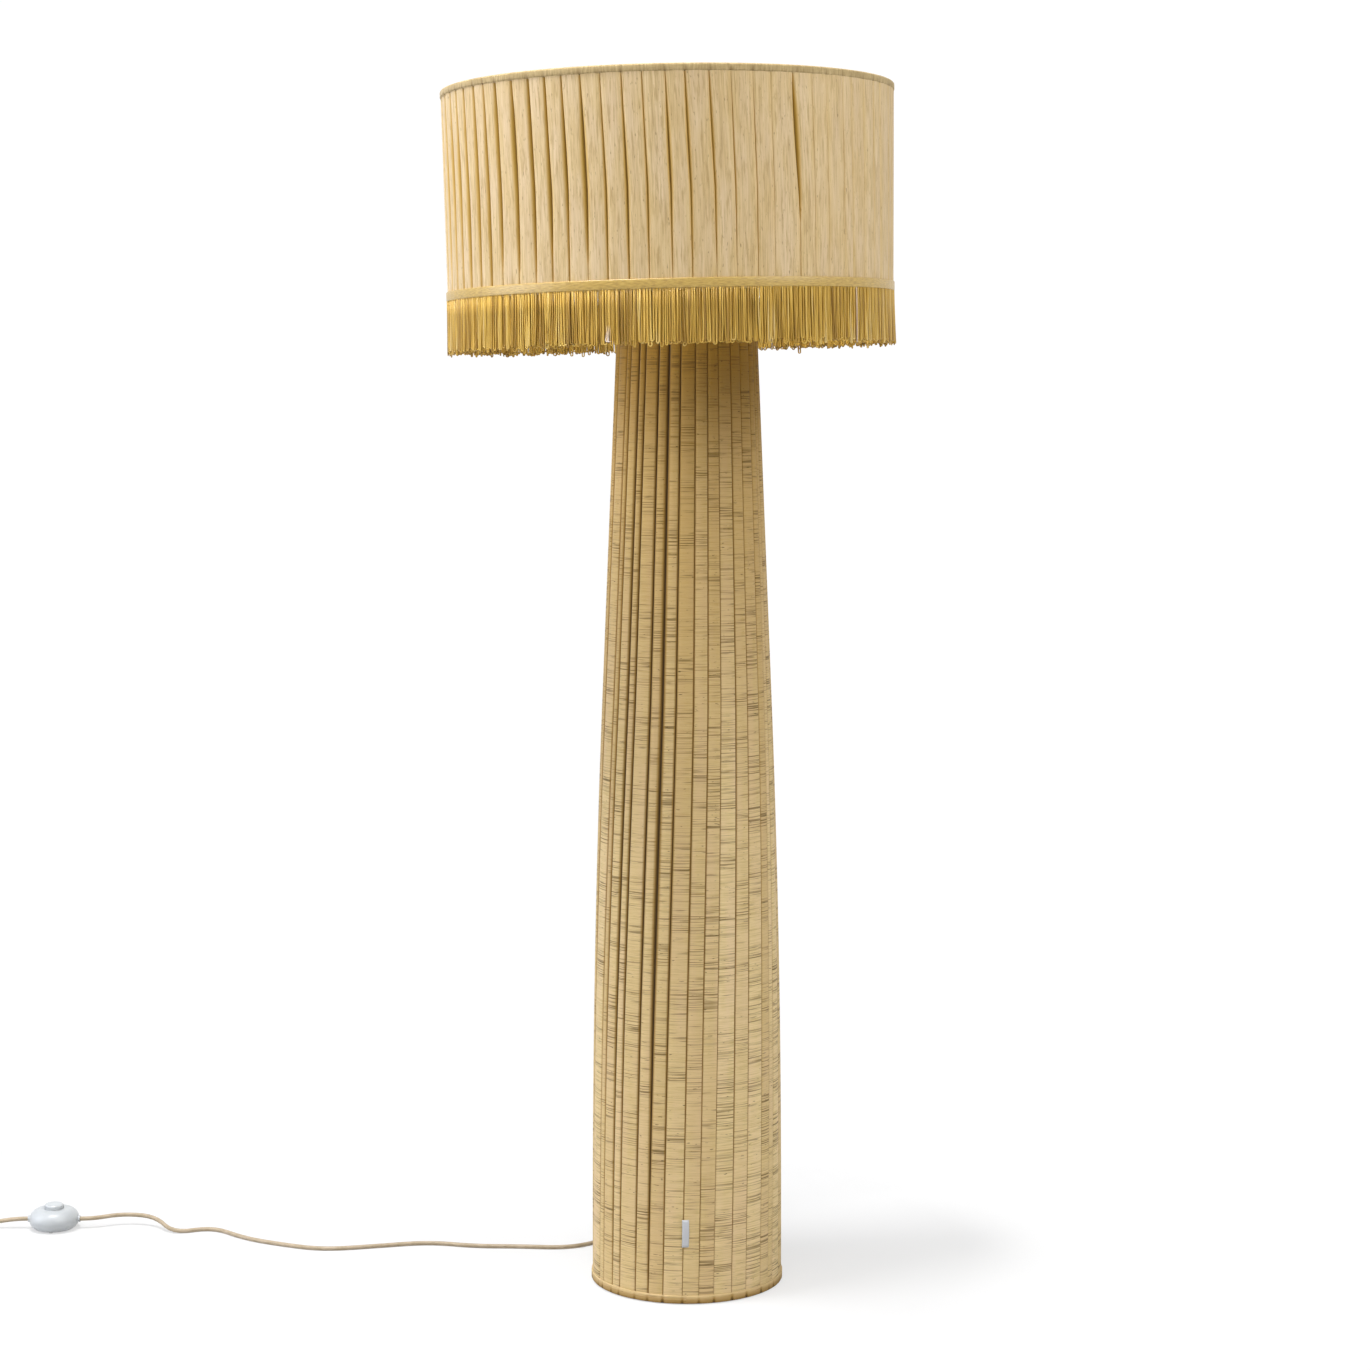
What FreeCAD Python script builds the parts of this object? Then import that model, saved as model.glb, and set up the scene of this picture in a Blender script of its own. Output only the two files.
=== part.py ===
import FreeCAD, Part
import math
import os
import types
import Sketcher

# A floor lamp: a weighted base, a leaning stem inside a pleated cloth column, a lampholder with its
# bulb, a pleated drum shade with a fringe, and a lead with a foot switch, a put-away coil and a plug.
# Millimetres and degrees. +Z is up, the front faces -Y, and the origin is the middle of the foot.

SIZES = {
    # Whole lamp
    "lamp_height": 1450.0,
    "stem_lean": 0.95,
    "fit_gap": 0.3,
    "thread_gap": 0.1,
    "tube_gap": 0.05,
    "running_gap": 0.08,
    "overrun": 2.0,
    # Base
    "pad_radius": 109.0,
    "pad_thickness": 3.0,
    "base_radius": 110.0,
    "base_thickness": 14.0,
    "base_chamfer": 1.5,
    "base_hole_radius": 5.9,
    "recess_radius": 17.0,
    "recess_depth": 9.0,
    "washer_radius": 12.0,
    "washer_thickness": 1.6,
    "nut_corner_radius": 9.8,
    "nut_height": 5.0,
    # Stem
    "stud_radius": 5.0,
    "stud_tail": 1.0,
    "foot_flange_radius": 30.0,
    "foot_flange_thickness": 4.0,
    "foot_collar_radius": 11.5,
    "foot_collar_height": 26.0,
    "foot_plug_height": 8.0,
    "stem_radius": 8.0,
    "stem_wall": 1.5,
    "stem_joint_height": 610.0,
    "coupler_radius": 10.5,
    "coupler_length": 40.0,
    "stem_drop": 238.0,
    "lead_slot_width": 8.0,
    "lead_slot_low": 60.0,
    "lead_slot_high": 98.0,
    "bush_depth": 12.0,
    "bush_flange_radius": 9.5,
    "bush_flange_thickness": 3.0,
    "nipple_bore": 3.6,
    "nipple_rise": 9.0,
    # Lampholder
    "holder_neck_radius": 12.0,
    "holder_radius": 20.0,
    "holder_wall": 2.0,
    "holder_floor": 3.0,
    "holder_shoulder": 8.0,
    "holder_cap_height": 24.0,
    "skirt_radius": 19.75,
    "skirt_height": 38.0,
    "collar_radius": 23.0,
    "collar_rise": 6.0,
    "collar_thickness": 3.0,
    "core_rise": 14.0,
    "core_floor": 8.0,
    "core_height": 32.0,
    "screw_shell_radius": 14.1,
    "screw_shell_wall": 0.5,
    "screw_shell_height": 22.0,
    "contact_radius": 4.0,
    "contact_height": 3.0,
    "shade_nut_radius": 24.5,
    "shade_nut_height": 8.0,
    # Bulb
    "bulb_length": 110.0,
    "bulb_radius": 30.0,
    "bulb_cap_radius": 13.2,
    "bulb_cap_height": 25.0,
    "bulb_cap_wall": 0.3,
    "bulb_tip_radius": 4.5,
    "bulb_tip_height": 3.0,
    "bulb_insulator_height": 3.0,
    "bulb_neck_radius": 12.2,
    "bulb_neck_height": 30.0,
    "bulb_shoulder_bend": 68.0,
    "bulb_glass_wall": 1.0,
    "bulb_mount_radius": 5.0,
    "bulb_mount_height": 32.0,
    "filament_radius": 0.5,
    "filament_reach": 12.0,
    # Column
    "sleeve_base_radius": 116.4,
    "sleeve_top_radius": 82.0,
    "sleeve_belly_start": 60.0,
    "sleeve_belly_end": 711.0,
    "sleeve_drop": 236.0,
    "sleeve_foot_height": 2.0,
    "sleeve_pleat_depth": 2.6,
    "sleeve_pleat_twist": 9.4,
    "sleeve_liner_wall": 1.2,
    "cloth_thickness": 0.8,
    "binding_height": 6.0,
    "binding_thickness": 1.0,
    "hem_radius": 117.9,
    "hem_height": 10.0,
    "hem_foot_height": 1.5,
    "hem_thickness": 1.2,
    "ring_wire_radius": 2.0,
    "rib_radius": 1.8,
    "rib_count": 8,
    "top_ring_drop": 10.0,
    "spider_thickness": 1.5,
    "spider_hub_radius": 32.0,
    "spider_bar_width": 12.0,
    "tab_width": 8.5,
    "tab_length": 34.0,
    "tab_thickness": 0.6,
    "tab_height": 67.0,
    "tab_left": 2.0,
    # Shade
    "shade_top_radius": 269.0,
    "shade_taper": 2.8,
    "shade_height": 242.5,
    "shade_edge_drop": 2.5,
    "shade_pleat_depth": 3.8,
    "shade_pleat_twist": 0.8,
    "shade_liner_wall": 0.6,
    "shade_binding_height": 6.0,
    "shade_ring_inset": 6.0,
    "trim_drop": 1.0,
    "trim_height": 11.0,
    "trim_thickness": 1.3,
    "fringe_length": 60.5,
    "fringe_thickness": 3.0,
    "fringe_flare": 1.5,
    "strut_count": 6,
    "strut_radius": 1.5,
    "arm_radius": 1.7,
    "arm_count": 3,
    "hub_radius": 27.0,
    "hub_thickness": 2.0,
    # Lead
    "cord_radius": 2.75,
    "relief_height": 30.0,
    "relief_flange_radius": 6.0,
    "relief_flange_thickness": 2.0,
    "relief_neck_radius": 4.6,
    "relief_taper_radius": 5.6,
    "relief_taper_length": 24.0,
    "relief_end_radius": 3.5,
    # Foot switch
    "switch_left": 830.0,
    "switch_back": 203.0,
    "switch_seam_height": 8.0,
    "switch_seam_radius": 31.0,
    "switch_dome_radius": 14.0,
    "switch_wall": 2.0,
    "switch_top_height": 27.0,
    "switch_crown_radius": 15.5,
    "switch_foot_radius": 25.0,
    "switch_rubber_height": 1.6,
    "switch_rubber_radius": 18.5,
    "switch_rubber_width": 5.0,
    "switch_floor": 2.0,
    "switch_cord_height": 13.0,
    "switch_grommet_radius": 4.2,
    "switch_grommet_inner": 27.0,
    "switch_grommet_outer": 34.0,
    "button_radius": 12.5,
    "button_top_height": 33.0,
    "button_flange_radius": 14.0,
    "button_flange_thickness": 1.6,
    "button_edge": 1.5,
    "button_bore": 8.0,
    "block_length": 26.0,
    "block_width": 18.0,
    "block_height": 8.0,
    "terminal_radius": 2.4,
    "terminal_height": 2.0,
    "terminal_inset": 5.0,
    "spring_radius": 6.0,
    "spring_wire": 0.5,
    "spring_turns": 5,
    "screw_place": 22.0,
    "screw_radius": 1.5,
    "screw_head_radius": 2.6,
    "screw_head_height": 1.2,
    "screw_length": 12.0,
    "boss_radius": 3.0,
    "boss_top_height": 23.5,
    # Coil, tie and plug
    "coil_left": 985.0,
    "coil_back": 245.0,
    "coil_inner_radius": 21.0,
    "coil_pitch": 6.0,
    "coil_turns_in": 3.5,
    "coil_turns_out": 3.25,
    "coil_straight_end": 12.0,
    "tie_thickness": 0.8,
    "tie_width": 6.0,
    "tie_gap": 0.7,
    "plug_relief_length": 32.0,
    "plug_relief_radius": 5.5,
    "plug_width": 34.0,
    "plug_length": 30.0,
    "plug_fillet": 4.0,
    "pin_radius": 2.0,
    "pin_length": 19.0,
    "pin_spacing": 19.0,
}

# How far each pleat's gap is moved, as a share of one even step; the front ones follow the real folds
SHADE_PLEAT_COUNT = 70
SHADE_FIRST_TURN_SHARE = 0.78 / 360
SHADE_SHIFT_SHARES = {
    -16: 0.44, -15: 0.52, -14: 0.56, -13: 0.44, -12: 0.33, -11: 0.31, -10: 0.17, -9: 0.05, -8: 0.17,
    -7: 0.19, -6: 0.13, -5: 0.03, -4: -0.01, -3: -0.04, -2: -0.03, -1: -0.08, 0: 0.0, 1: -0.07,
    2: 0.07, 3: 0.04, 4: 0.10, 5: -0.02, 6: 0.39, 7: 0.28, 8: 0.15,
}
COLUMN_PLEAT_COUNT = 37
COLUMN_FIRST_TURN_SHARE = -2.1 / 360
COLUMN_SHIFT_SHARES = {
    -7: 0.43, -6: 0.0, -5: 0.0, -4: -0.31, -3: -0.06, -2: -0.17, -1: -0.20, 0: 0.0, 1: 0.0,
    2: -0.07, 3: 0.11, 4: 0.16, 5: 0.40, 6: 0.24,
}
# Elsewhere the gaps wander by sines of their number, each an amount and a rate
WANDER_SHARES = ((0.18, 2.3), (0.12, 5.1))
# The riser of a pleat takes this share of it; the pleats are nearly shut at the sewn edges
RISER_SHARE = 0.14
SHUT_SHARE = 0.4
# Each pleat bulges a little: its middle is lifted by this share of the way from gap to fold
MIDDLE_LIFT_SHARE = 0.62
BELLY_SHARES = (0.0, 0.28, 0.55, 0.78, 1.0)
TAPER_SHARES = (0.33, 0.67)
# How far the shade's pleats stand open, from its foot to its top
SHADE_OPENING_SHARES = ((0.0, SHUT_SHARE), (0.25, 0.9), (0.6, 1.0), (0.9, 0.75), (1.0, SHUT_SHARE))
# The inner lead lies level from this share of the way between the stem and the strain relief
LEAD_LEVEL_SHARE = 0.6
# The tie sits this share of a turn after the coil's start
TIE_TURN_SHARE = 0.625
# A direction is read off a wound path over this share of a quarter turn
NEARBY_SHARE = 0.001
# An arc of a lead's route reaches this share of the shorter run back from its point
ARC_SHARE = 0.45

# The lead's route from the column to the foot switch, left out: its two ends, which follow the pieces
LAMP_ROUTE = (
    (0.0, 166.0, 30.0),
    (-9.0, 192.0, 17.0),
    (-34.0, 205.0, 4.0),
    (-66.0, 192.0, 2.75),
    (-94.0, 162.0, 2.75),
    (-122.0, 125.0, 2.75),
    (-158.0, 107.0, 2.75),
    (-215.0, 113.5, 2.75),
    (-272.0, 114.0, 2.75),
    (-332.0, 131.5, 2.75),
    (-396.0, 115.0, 2.75),
    (-464.0, 99.0, 2.75),
    (-520.0, 121.0, 2.75),
    (-573.0, 149.0, 2.75),
    (-621.0, 197.0, 2.75),
    (-669.0, 181.0, 3.0),
    (-701.0, 213.0, 9.5),
    (-745.0, 222.0, 11.5),
    (-779.0, 203.0, 13.0),
)
# The same from the foot switch to the coil
PLUG_ROUTE = (
    (-880.0, 203.0, 13.0),
    (-908.0, 202.6, 8.6),
    (-938.0, 201.5, 3.65),
)


class Size:
    """A size, or a sum of sizes: its text binds a property of the document, its value is the number."""

    def __init__(self, text, value):
        self.text = text
        self.value = float(value)

    def __add__(self, other):
        return Size("(%s + %s)" % (self.text, text_of(other)), self.value + number(other))

    def __radd__(self, other):
        return Size("(%s + %s)" % (text_of(other), self.text), number(other) + self.value)

    def __sub__(self, other):
        return Size("(%s - %s)" % (self.text, text_of(other)), self.value - number(other))

    def __rsub__(self, other):
        return Size("(%s - %s)" % (text_of(other), self.text), number(other) - self.value)

    def __mul__(self, other):
        return Size("(%s * %s)" % (self.text, text_of(other)), self.value * number(other))

    __rmul__ = __mul__

    def __truediv__(self, other):
        return Size("(%s / %s)" % (self.text, text_of(other)), self.value / number(other))

    def __neg__(self):
        return Size("(-%s)" % self.text, -self.value)


def text_of(thing):
    return thing.text if isinstance(thing, Size) else repr(float(thing))


def number(thing):
    return thing.value if isinstance(thing, Size) else float(thing)


doc = FreeCAD.newDocument("FloorLamp")
sheet = doc.addObject("Spreadsheet::Sheet", "Sizes")
for row, (alias, amount) in enumerate(SIZES.items(), 1):
    sheet.set("A%d" % row, alias)
    sheet.set("B%d" % row, str(amount))
    sheet.setAlias("B%d" % row, alias)
doc.recompute()
s = types.SimpleNamespace(**{alias: Size("Sizes.%s" % alias, sheet.get(alias)) for alias in SIZES})
nodes = []


def bind(thing, where, size):
    """Bind one property of an object to a size; a zero is left as it is."""
    if isinstance(size, Size):
        thing.setExpression(where, size.text)


def point(x, y, z):
    return FreeCAD.Vector(number(x), number(y), number(z))


# The place on a circle that is its centre
CENTRE = 3

# Heights on the lamp's axis, from the floor up
base_top = s.pad_thickness + s.base_thickness
pivot = base_top + s.spider_thickness
recess_top = s.pad_thickness + s.recess_depth
lean_tangent = Size("tan(Sizes.stem_lean * 1 deg)", math.tan(math.radians(s.stem_lean.value)))
LEAN = math.radians(s.stem_lean.value)


def leaning(x, y, z):
    """The place in the lamp of a point of the stem's own frame, which leans towards -X at the pivot."""
    return FreeCAD.Vector(
        number(x) * math.cos(LEAN) - number(z) * math.sin(LEAN),
        number(y),
        pivot.value + number(z) * math.cos(LEAN) + number(x) * math.sin(LEAN),
    )


def along_stem(height):
    """A height above the floor, counted along the stem from its pivot."""
    return height - pivot


def stand(thing, lean=False, x=0, y=0, z=0):
    """Place an object: upright at a bound place, or in the stem's leaning frame."""
    if lean:
        thing.Placement = FreeCAD.Placement(
            point(0, 0, pivot), FreeCAD.Rotation(FreeCAD.Vector(0, -1, 0), s.stem_lean.value))
        bind(thing, "Placement.Base.z", pivot)
        bind(thing, "Placement.Rotation.Angle", s.stem_lean)
        return
    thing.Placement.Base = point(x, y, z)
    for axis, size in (("x", x), ("y", y), ("z", z)):
        bind(thing, "Placement.Base." + axis, size)


def keep(thing, label):
    """Give a finished piece its name and remember it."""
    thing.Label = label
    nodes.append(thing)
    return thing


def new_body(label, lean=False):
    body = doc.addObject("PartDesign::Body", label + "_body")
    stand(body, lean)
    return keep(body, label)


def origin_feature(body, role):
    """One of a body's own planes or axes."""
    return [feature for feature in body.Origin.OriginFeatures if feature.Role == role][0]


def sketch_on(body, role, name, offset=0):
    """An empty sketch on one of a body's own planes, raised along the plane's normal."""
    sketch = body.newObject("Sketcher::SketchObject", body.Name + name)
    sketch.AttachmentSupport = [(origin_feature(body, role), "")]
    sketch.MapMode = "FlatFace"
    sketch.AttachmentOffset.Base.z = number(offset)
    bind(sketch, "AttachmentOffset.Base.z", offset)
    return sketch


def pin_down(sketch, geometry, corner, x, y):
    """Hold one corner of a sketch at a bound distance from both axes."""
    for kind, size, axis in (("DistanceX", x, -2), ("DistanceY", y, -1)):
        if isinstance(size, Size):
            place = sketch.addConstraint(
                Sketcher.Constraint(kind, -1, 1, geometry, corner, size.value))
            sketch.setExpression("Constraints[%d]" % place, size.text)
        else:
            sketch.addConstraint(Sketcher.Constraint("PointOnObject", geometry, corner, axis))


def draw(sketch, corners, bends=()):
    """Draw a closed outline: straight sides, and for each (side, radius, turn) a bend about that radius;
    a turn of 1 has its centre on the left of the way round, and -1 on its right."""
    bend_of = {side: (radius, turn) for side, radius, turn in bends}
    count = len(corners)
    ends = []
    for side, (x, y) in enumerate(corners):
        first = point(x, y, 0)
        last = point(*corners[(side + 1) % count], 0)
        if side in bend_of:
            radius, turn = bend_of[side]
            chord = last - first
            left = FreeCAD.Vector(-chord.y, chord.x, 0).normalize()
            depth = math.sqrt(radius.value ** 2 - (chord.Length / 2) ** 2)
            middle = (first + last) / 2 - left * turn * (radius.value - depth)
            geometry = sketch.addGeometry(Part.Arc(first, middle, last), False)
            ends.append((1, 2) if turn > 0 else (2, 1))
            place = sketch.addConstraint(Sketcher.Constraint("Radius", geometry, radius.value))
            sketch.setExpression("Constraints[%d]" % place, radius.text)
        else:
            sketch.addGeometry(Part.LineSegment(first, last), False)
            ends.append((1, 2))
    for side in range(count):
        after = (side + 1) % count
        sketch.addConstraint(
            Sketcher.Constraint("Coincident", side, ends[side][1], after, ends[after][0]))
        pin_down(sketch, side, ends[side][0], *corners[side])


def draw_circle(sketch, x, y, radius):
    geometry = sketch.addGeometry(
        Part.Circle(point(x, y, 0), FreeCAD.Vector(0, 0, 1), radius.value), False)
    place = sketch.addConstraint(Sketcher.Constraint("Radius", geometry, radius.value))
    sketch.setExpression("Constraints[%d]" % place, radius.text)
    pin_down(sketch, geometry, CENTRE, x, y)


def turned(label, corners, bends=(), lean=False):
    """A piece turned about its own Z axis from an outline of (radius, height) corners."""
    body = new_body(label, lean)
    sketch = sketch_on(body, "XZ_Plane", "Outline")
    draw(sketch, corners, bends)
    turn = body.newObject("PartDesign::Revolution", body.Name + "Turn")
    turn.Profile = sketch
    turn.ReferenceAxis = (sketch, ["V_Axis"])
    turn.Angle = 360
    return body


def tube_wall(inner, outer, low, high):
    return [(inner, low), (outer, low), (outer, high), (inner, high)]


def pocket(body, sketch, length, reverse):
    cut = body.newObject("PartDesign::Pocket", sketch.Name + "Cut")
    cut.Profile = sketch
    cut.Length = length.value
    bind(cut, "Length", length)
    cut.Reversed = reverse
    return cut


def pad(body, sketch, length):
    raised = body.newObject("PartDesign::Pad", sketch.Name + "Pad")
    raised.Profile = sketch
    raised.Length = length.value
    bind(raised, "Length", length)
    return raised


def block(label, corners, low, height):
    """A piece raised straight up from an outline of (x, y) corners."""
    body = new_body(label)
    sketch = sketch_on(body, "XY_Plane", "Outline", low)
    draw(sketch, corners)
    pad(body, sketch, height)
    return body


def wire_ring(label, radius, wire, height, lean=False):
    """A closed ring of round wire, made as a turned circle."""
    body = new_body(label, lean)
    sketch = sketch_on(body, "XZ_Plane", "Section")
    draw_circle(sketch, radius, height, wire)
    turn = body.newObject("PartDesign::Revolution", body.Name + "Turn")
    turn.Profile = sketch
    turn.ReferenceAxis = (sketch, ["V_Axis"])
    turn.Angle = 360
    return body


def cylinder(name, radius, height, x=0, y=0, z=0):
    rod = doc.addObject("Part::Cylinder", name)
    rod.Radius = radius.value
    rod.Height = height.value
    bind(rod, "Radius", radius)
    bind(rod, "Height", height)
    stand(rod, False, x, y, z)
    return rod


def solid(label, shape):
    """A piece whose shape is worked out in code from the sheet's values."""
    feature = doc.addObject("Part::Feature", label + "_piece")
    feature.Shape = shape
    return keep(feature, label)


def group(label, pieces):
    """Several alike, separate solids under one name."""
    together = doc.addObject("Part::Compound", label + "_group")
    together.Links = pieces
    return keep(together, label)


def around(angle, radius, height):
    """A point by its angle from the front towards +X, its radius and its height."""
    return FreeCAD.Vector(radius * math.sin(angle), -radius * math.cos(angle), height)


# Base: felt pad, cast weight, and the washer and nut that hold the stem's stud from below
def make_base():
    turned("foot_pad", tube_wall(0, s.pad_radius, 0, s.pad_thickness))
    low = s.pad_thickness
    rim = s.base_radius - s.base_chamfer
    turned("base_weight", [
        (s.base_hole_radius, recess_top),
        (s.recess_radius, recess_top),
        (s.recess_radius, low),
        (rim, low),
        (s.base_radius, low + s.base_chamfer),
        (s.base_radius, base_top - s.base_chamfer),
        (rim, base_top),
        (s.base_hole_radius, base_top),
    ])
    washer_low = recess_top - s.washer_thickness
    hole = s.stud_radius + s.fit_gap
    turned("base_washer", tube_wall(hole + s.fit_gap, s.washer_radius, washer_low, recess_top))
    hexagon = doc.addObject("Part::Prism", "NutHexagon")
    hexagon.Polygon = 6
    bind(hexagon, "Circumradius", s.nut_corner_radius)
    bind(hexagon, "Height", s.nut_height)
    stand(hexagon, z=washer_low - s.nut_height)
    bore = cylinder("NutBore", hole, s.nut_height + 2 * s.overrun, z=washer_low - s.nut_height - s.overrun)
    nut = doc.addObject("Part::Cut", "NutCut")
    nut.Base = hexagon
    nut.Tool = bore
    keep(nut, "base_nut")


# Stem: a foot with a collar, two tubes and their coupler, and the threaded pieces at both ends
foot_low = s.foot_flange_radius * lean_tangent + s.thread_gap
foot_floor = foot_low + s.foot_plug_height
stem_joint = along_stem(s.stem_joint_height)
stem_top = along_stem(s.lamp_height - s.stem_drop)
stem_bore = s.stem_radius - s.stem_wall


def make_stem():
    thread = s.stud_radius + s.thread_gap
    socket = s.stem_radius + s.tube_gap
    stud_low = -(pivot - s.pad_thickness - s.stud_tail)
    turned("stem_stud", tube_wall(0, s.stud_radius, stud_low, foot_floor - s.thread_gap), lean=True)
    flange_top = foot_low + s.foot_flange_thickness
    collar_top = foot_low + s.foot_collar_height
    turned("stem_foot", [
        (thread, foot_low),
        (s.foot_flange_radius, foot_low),
        (s.foot_flange_radius, flange_top),
        (s.foot_collar_radius, flange_top),
        (s.foot_collar_radius, collar_top),
        (socket, collar_top),
        (socket, foot_floor),
        (thread, foot_floor),
    ], lean=True)
    lower = turned("stem_lower", tube_wall(stem_bore, s.stem_radius, foot_floor, stem_joint), lean=True)
    slot = sketch_on(lower, "XZ_Plane", "Slot")
    half = s.lead_slot_width / 2
    low = along_stem(s.lead_slot_low)
    high = along_stem(s.lead_slot_high)
    draw(slot, [(-half, low), (half, low), (half, high), (-half, high)])
    pocket(lower, slot, s.stem_radius + s.overrun, False)
    turned("stem_upper", tube_wall(stem_bore, s.stem_radius, stem_joint, stem_top), lean=True)
    reach = s.coupler_length / 2
    turned("stem_coupler", tube_wall(
        socket, s.coupler_radius, stem_joint - reach, stem_joint + reach), lean=True)
    bush_top = stem_top + s.bush_flange_thickness
    turned("stem_end_bush", [
        (thread, stem_top - s.bush_depth),
        (stem_bore - s.tube_gap, stem_top - s.bush_depth),
        (stem_bore - s.tube_gap, stem_top),
        (s.bush_flange_radius, stem_top),
        (s.bush_flange_radius, bush_top),
        (thread, bush_top),
    ], lean=True)
    turned("stem_nipple", tube_wall(
        s.nipple_bore, s.stud_radius, stem_top - s.bush_depth, bush_top + s.nipple_rise), lean=True)


# Lampholder: cap, core with its screw shell and contact, skirt with a collar, and the shade's ring nut
holder_low = stem_top + s.bush_flange_thickness
holder_seam = holder_low + s.holder_cap_height
core_low = holder_low + s.core_rise
core_seat = core_low + s.core_floor
hub_low = holder_seam + s.collar_rise + s.collar_thickness
hub_top = hub_low + s.hub_thickness


def make_lampholder():
    inner = s.holder_radius - s.holder_wall
    shoulder = holder_low + s.holder_shoulder
    turned("lampholder_cap", [
        (s.stud_radius + s.thread_gap, holder_low),
        (s.holder_neck_radius, holder_low),
        (s.holder_radius, shoulder),
        (s.holder_radius, holder_seam),
        (inner, holder_seam),
        (inner, shoulder + s.fit_gap),
        (s.holder_neck_radius - s.fit_gap, holder_low + s.holder_floor),
        (s.stud_radius + s.thread_gap, holder_low + s.holder_floor),
    ], lean=True)
    core_radius = s.skirt_radius - s.holder_wall - s.fit_gap
    socket = s.screw_shell_radius + s.tube_gap
    core_top = core_low + s.core_height
    turned("lampholder_core", [
        (0, core_low),
        (core_radius, core_low),
        (core_radius, core_top),
        (socket, core_top),
        (socket, core_seat),
        (0, core_seat),
    ], lean=True)
    turned("lampholder_screw_shell", tube_wall(
        s.screw_shell_radius - s.screw_shell_wall, s.screw_shell_radius,
        core_seat, core_seat + s.screw_shell_height), lean=True)
    turned("lampholder_contact", [
        (0, core_seat),
        (s.contact_radius, core_seat),
        (s.contact_radius / 2, core_seat + s.contact_height),
        (0, core_seat + s.contact_height),
    ], lean=True)
    collar_low = holder_seam + s.collar_rise
    skirt_inner = s.skirt_radius - s.holder_wall
    skirt_top = holder_seam + s.skirt_height
    turned("lampholder_skirt", [
        (skirt_inner, holder_seam),
        (s.skirt_radius, holder_seam),
        (s.skirt_radius, collar_low),
        (s.collar_radius, collar_low),
        (s.collar_radius, hub_low),
        (s.skirt_radius, hub_low),
        (s.skirt_radius, skirt_top),
        (skirt_inner, skirt_top),
    ], lean=True)
    nut_low = hub_top + s.thread_gap
    turned("shade_ring_nut", tube_wall(
        s.skirt_radius + s.thread_gap, s.shade_nut_radius, nut_low, nut_low + s.shade_nut_height), lean=True)


# Bulb: screw cap, insulator, contact tip, glass with a mount and a bent filament inside
bulb_low = core_seat + s.contact_height + s.thread_gap


def make_bulb():
    tip_top = bulb_low + s.bulb_tip_height
    cap_low = tip_top + s.bulb_insulator_height
    cap_top = bulb_low + s.bulb_cap_height
    turned("bulb_tip", [
        (0, bulb_low),
        (s.bulb_tip_radius / 2, bulb_low),
        (s.bulb_tip_radius, tip_top),
        (0, tip_top),
    ], lean=True)
    turned("bulb_insulator", [
        (0, tip_top),
        (s.bulb_tip_radius, tip_top),
        (s.bulb_cap_radius - s.bulb_cap_wall, cap_low),
        (0, cap_low),
    ], lean=True)
    turned("bulb_cap", tube_wall(
        s.bulb_cap_radius - s.bulb_cap_wall, s.bulb_cap_radius, cap_low, cap_top), lean=True)
    inner_neck = s.bulb_neck_radius - s.bulb_glass_wall
    neck_low = cap_low + s.bulb_insulator_height
    neck_top = bulb_low + s.bulb_neck_height
    top = bulb_low + s.bulb_length
    middle = top - s.bulb_radius
    inner_radius = s.bulb_radius - s.bulb_glass_wall
    turned("bulb_glass", [
        (inner_neck, neck_low),
        (s.bulb_neck_radius, neck_low),
        (s.bulb_neck_radius, neck_top),
        (s.bulb_radius, middle),
        (0, top),
        (0, top - s.bulb_glass_wall),
        (inner_radius, middle),
        (inner_neck, neck_top),
    ], bends=[
        (2, s.bulb_shoulder_bend, 1),
        (3, s.bulb_radius, 1),
        (5, inner_radius, -1),
        (6, s.bulb_shoulder_bend, -1),
    ], lean=True)
    mount_top = neck_low + s.bulb_mount_height
    turned("bulb_mount", [
        (0, neck_low),
        (inner_neck - s.fit_gap, neck_low),
        (s.bulb_mount_radius, neck_low + s.bulb_insulator_height),
        (s.bulb_mount_radius / 2, mount_top),
        (0, mount_top),
    ], lean=True)
    reach = s.filament_reach.value
    base = mount_top.value
    zigzag = [
        leaning(-reach / 4, 0, base),
        leaning(-reach, 0, base + reach),
        leaning(-reach / 3, 0, base + reach / 2),
        leaning(reach / 3, 0, base + reach),
        leaning(reach, 0, base + reach / 2),
        leaning(reach / 4, 0, base),
    ]
    solid("bulb_filament", tube(route(zigzag), s.filament_radius.value))


def route(points):
    """Straight runs joined by tangent arcs, each as large as its two runs allow."""
    edges = []
    radii = []
    start = points[0]
    for before, corner, after in zip(points, points[1:], points[2:]):
        back = before - corner
        onward = after - corner
        reach = ARC_SHARE * min(back.Length, onward.Length)
        back.normalize()
        onward.normalize()
        half_turn = (math.pi - back.getAngle(onward)) / 2
        radius = reach / math.tan(half_turn)
        radii.append(radius)
        inward = (back + onward).normalize()
        middle = corner + inward * (radius / math.cos(half_turn) - radius)
        enter = corner + back * reach
        leave = corner + onward * reach
        edges.append(Part.LineSegment(start, enter).toShape())
        edges.append(Part.Arc(enter, middle, leave).toShape())
        start = leave
    edges.append(Part.LineSegment(start, points[-1]).toShape())
    path = Part.Wire(edges)
    least_radii.append((len(points), path.Length, min(radii)))
    return path


least_radii = []


def tube(path, radius):
    """A round tube along a path, square to it at both ends."""
    first = path.OrderedEdges[0]
    start = first.valueAt(first.FirstParameter)
    ahead = first.tangentAt(first.FirstParameter)
    if path.OrderedVertexes[0].Point.distanceToPoint(start) > radius:
        start = first.valueAt(first.LastParameter)
        ahead = first.tangentAt(first.LastParameter)
    section = Part.Wire(Part.makeCircle(radius, start, ahead))
    return path.makePipeShell([section], True, False)


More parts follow.
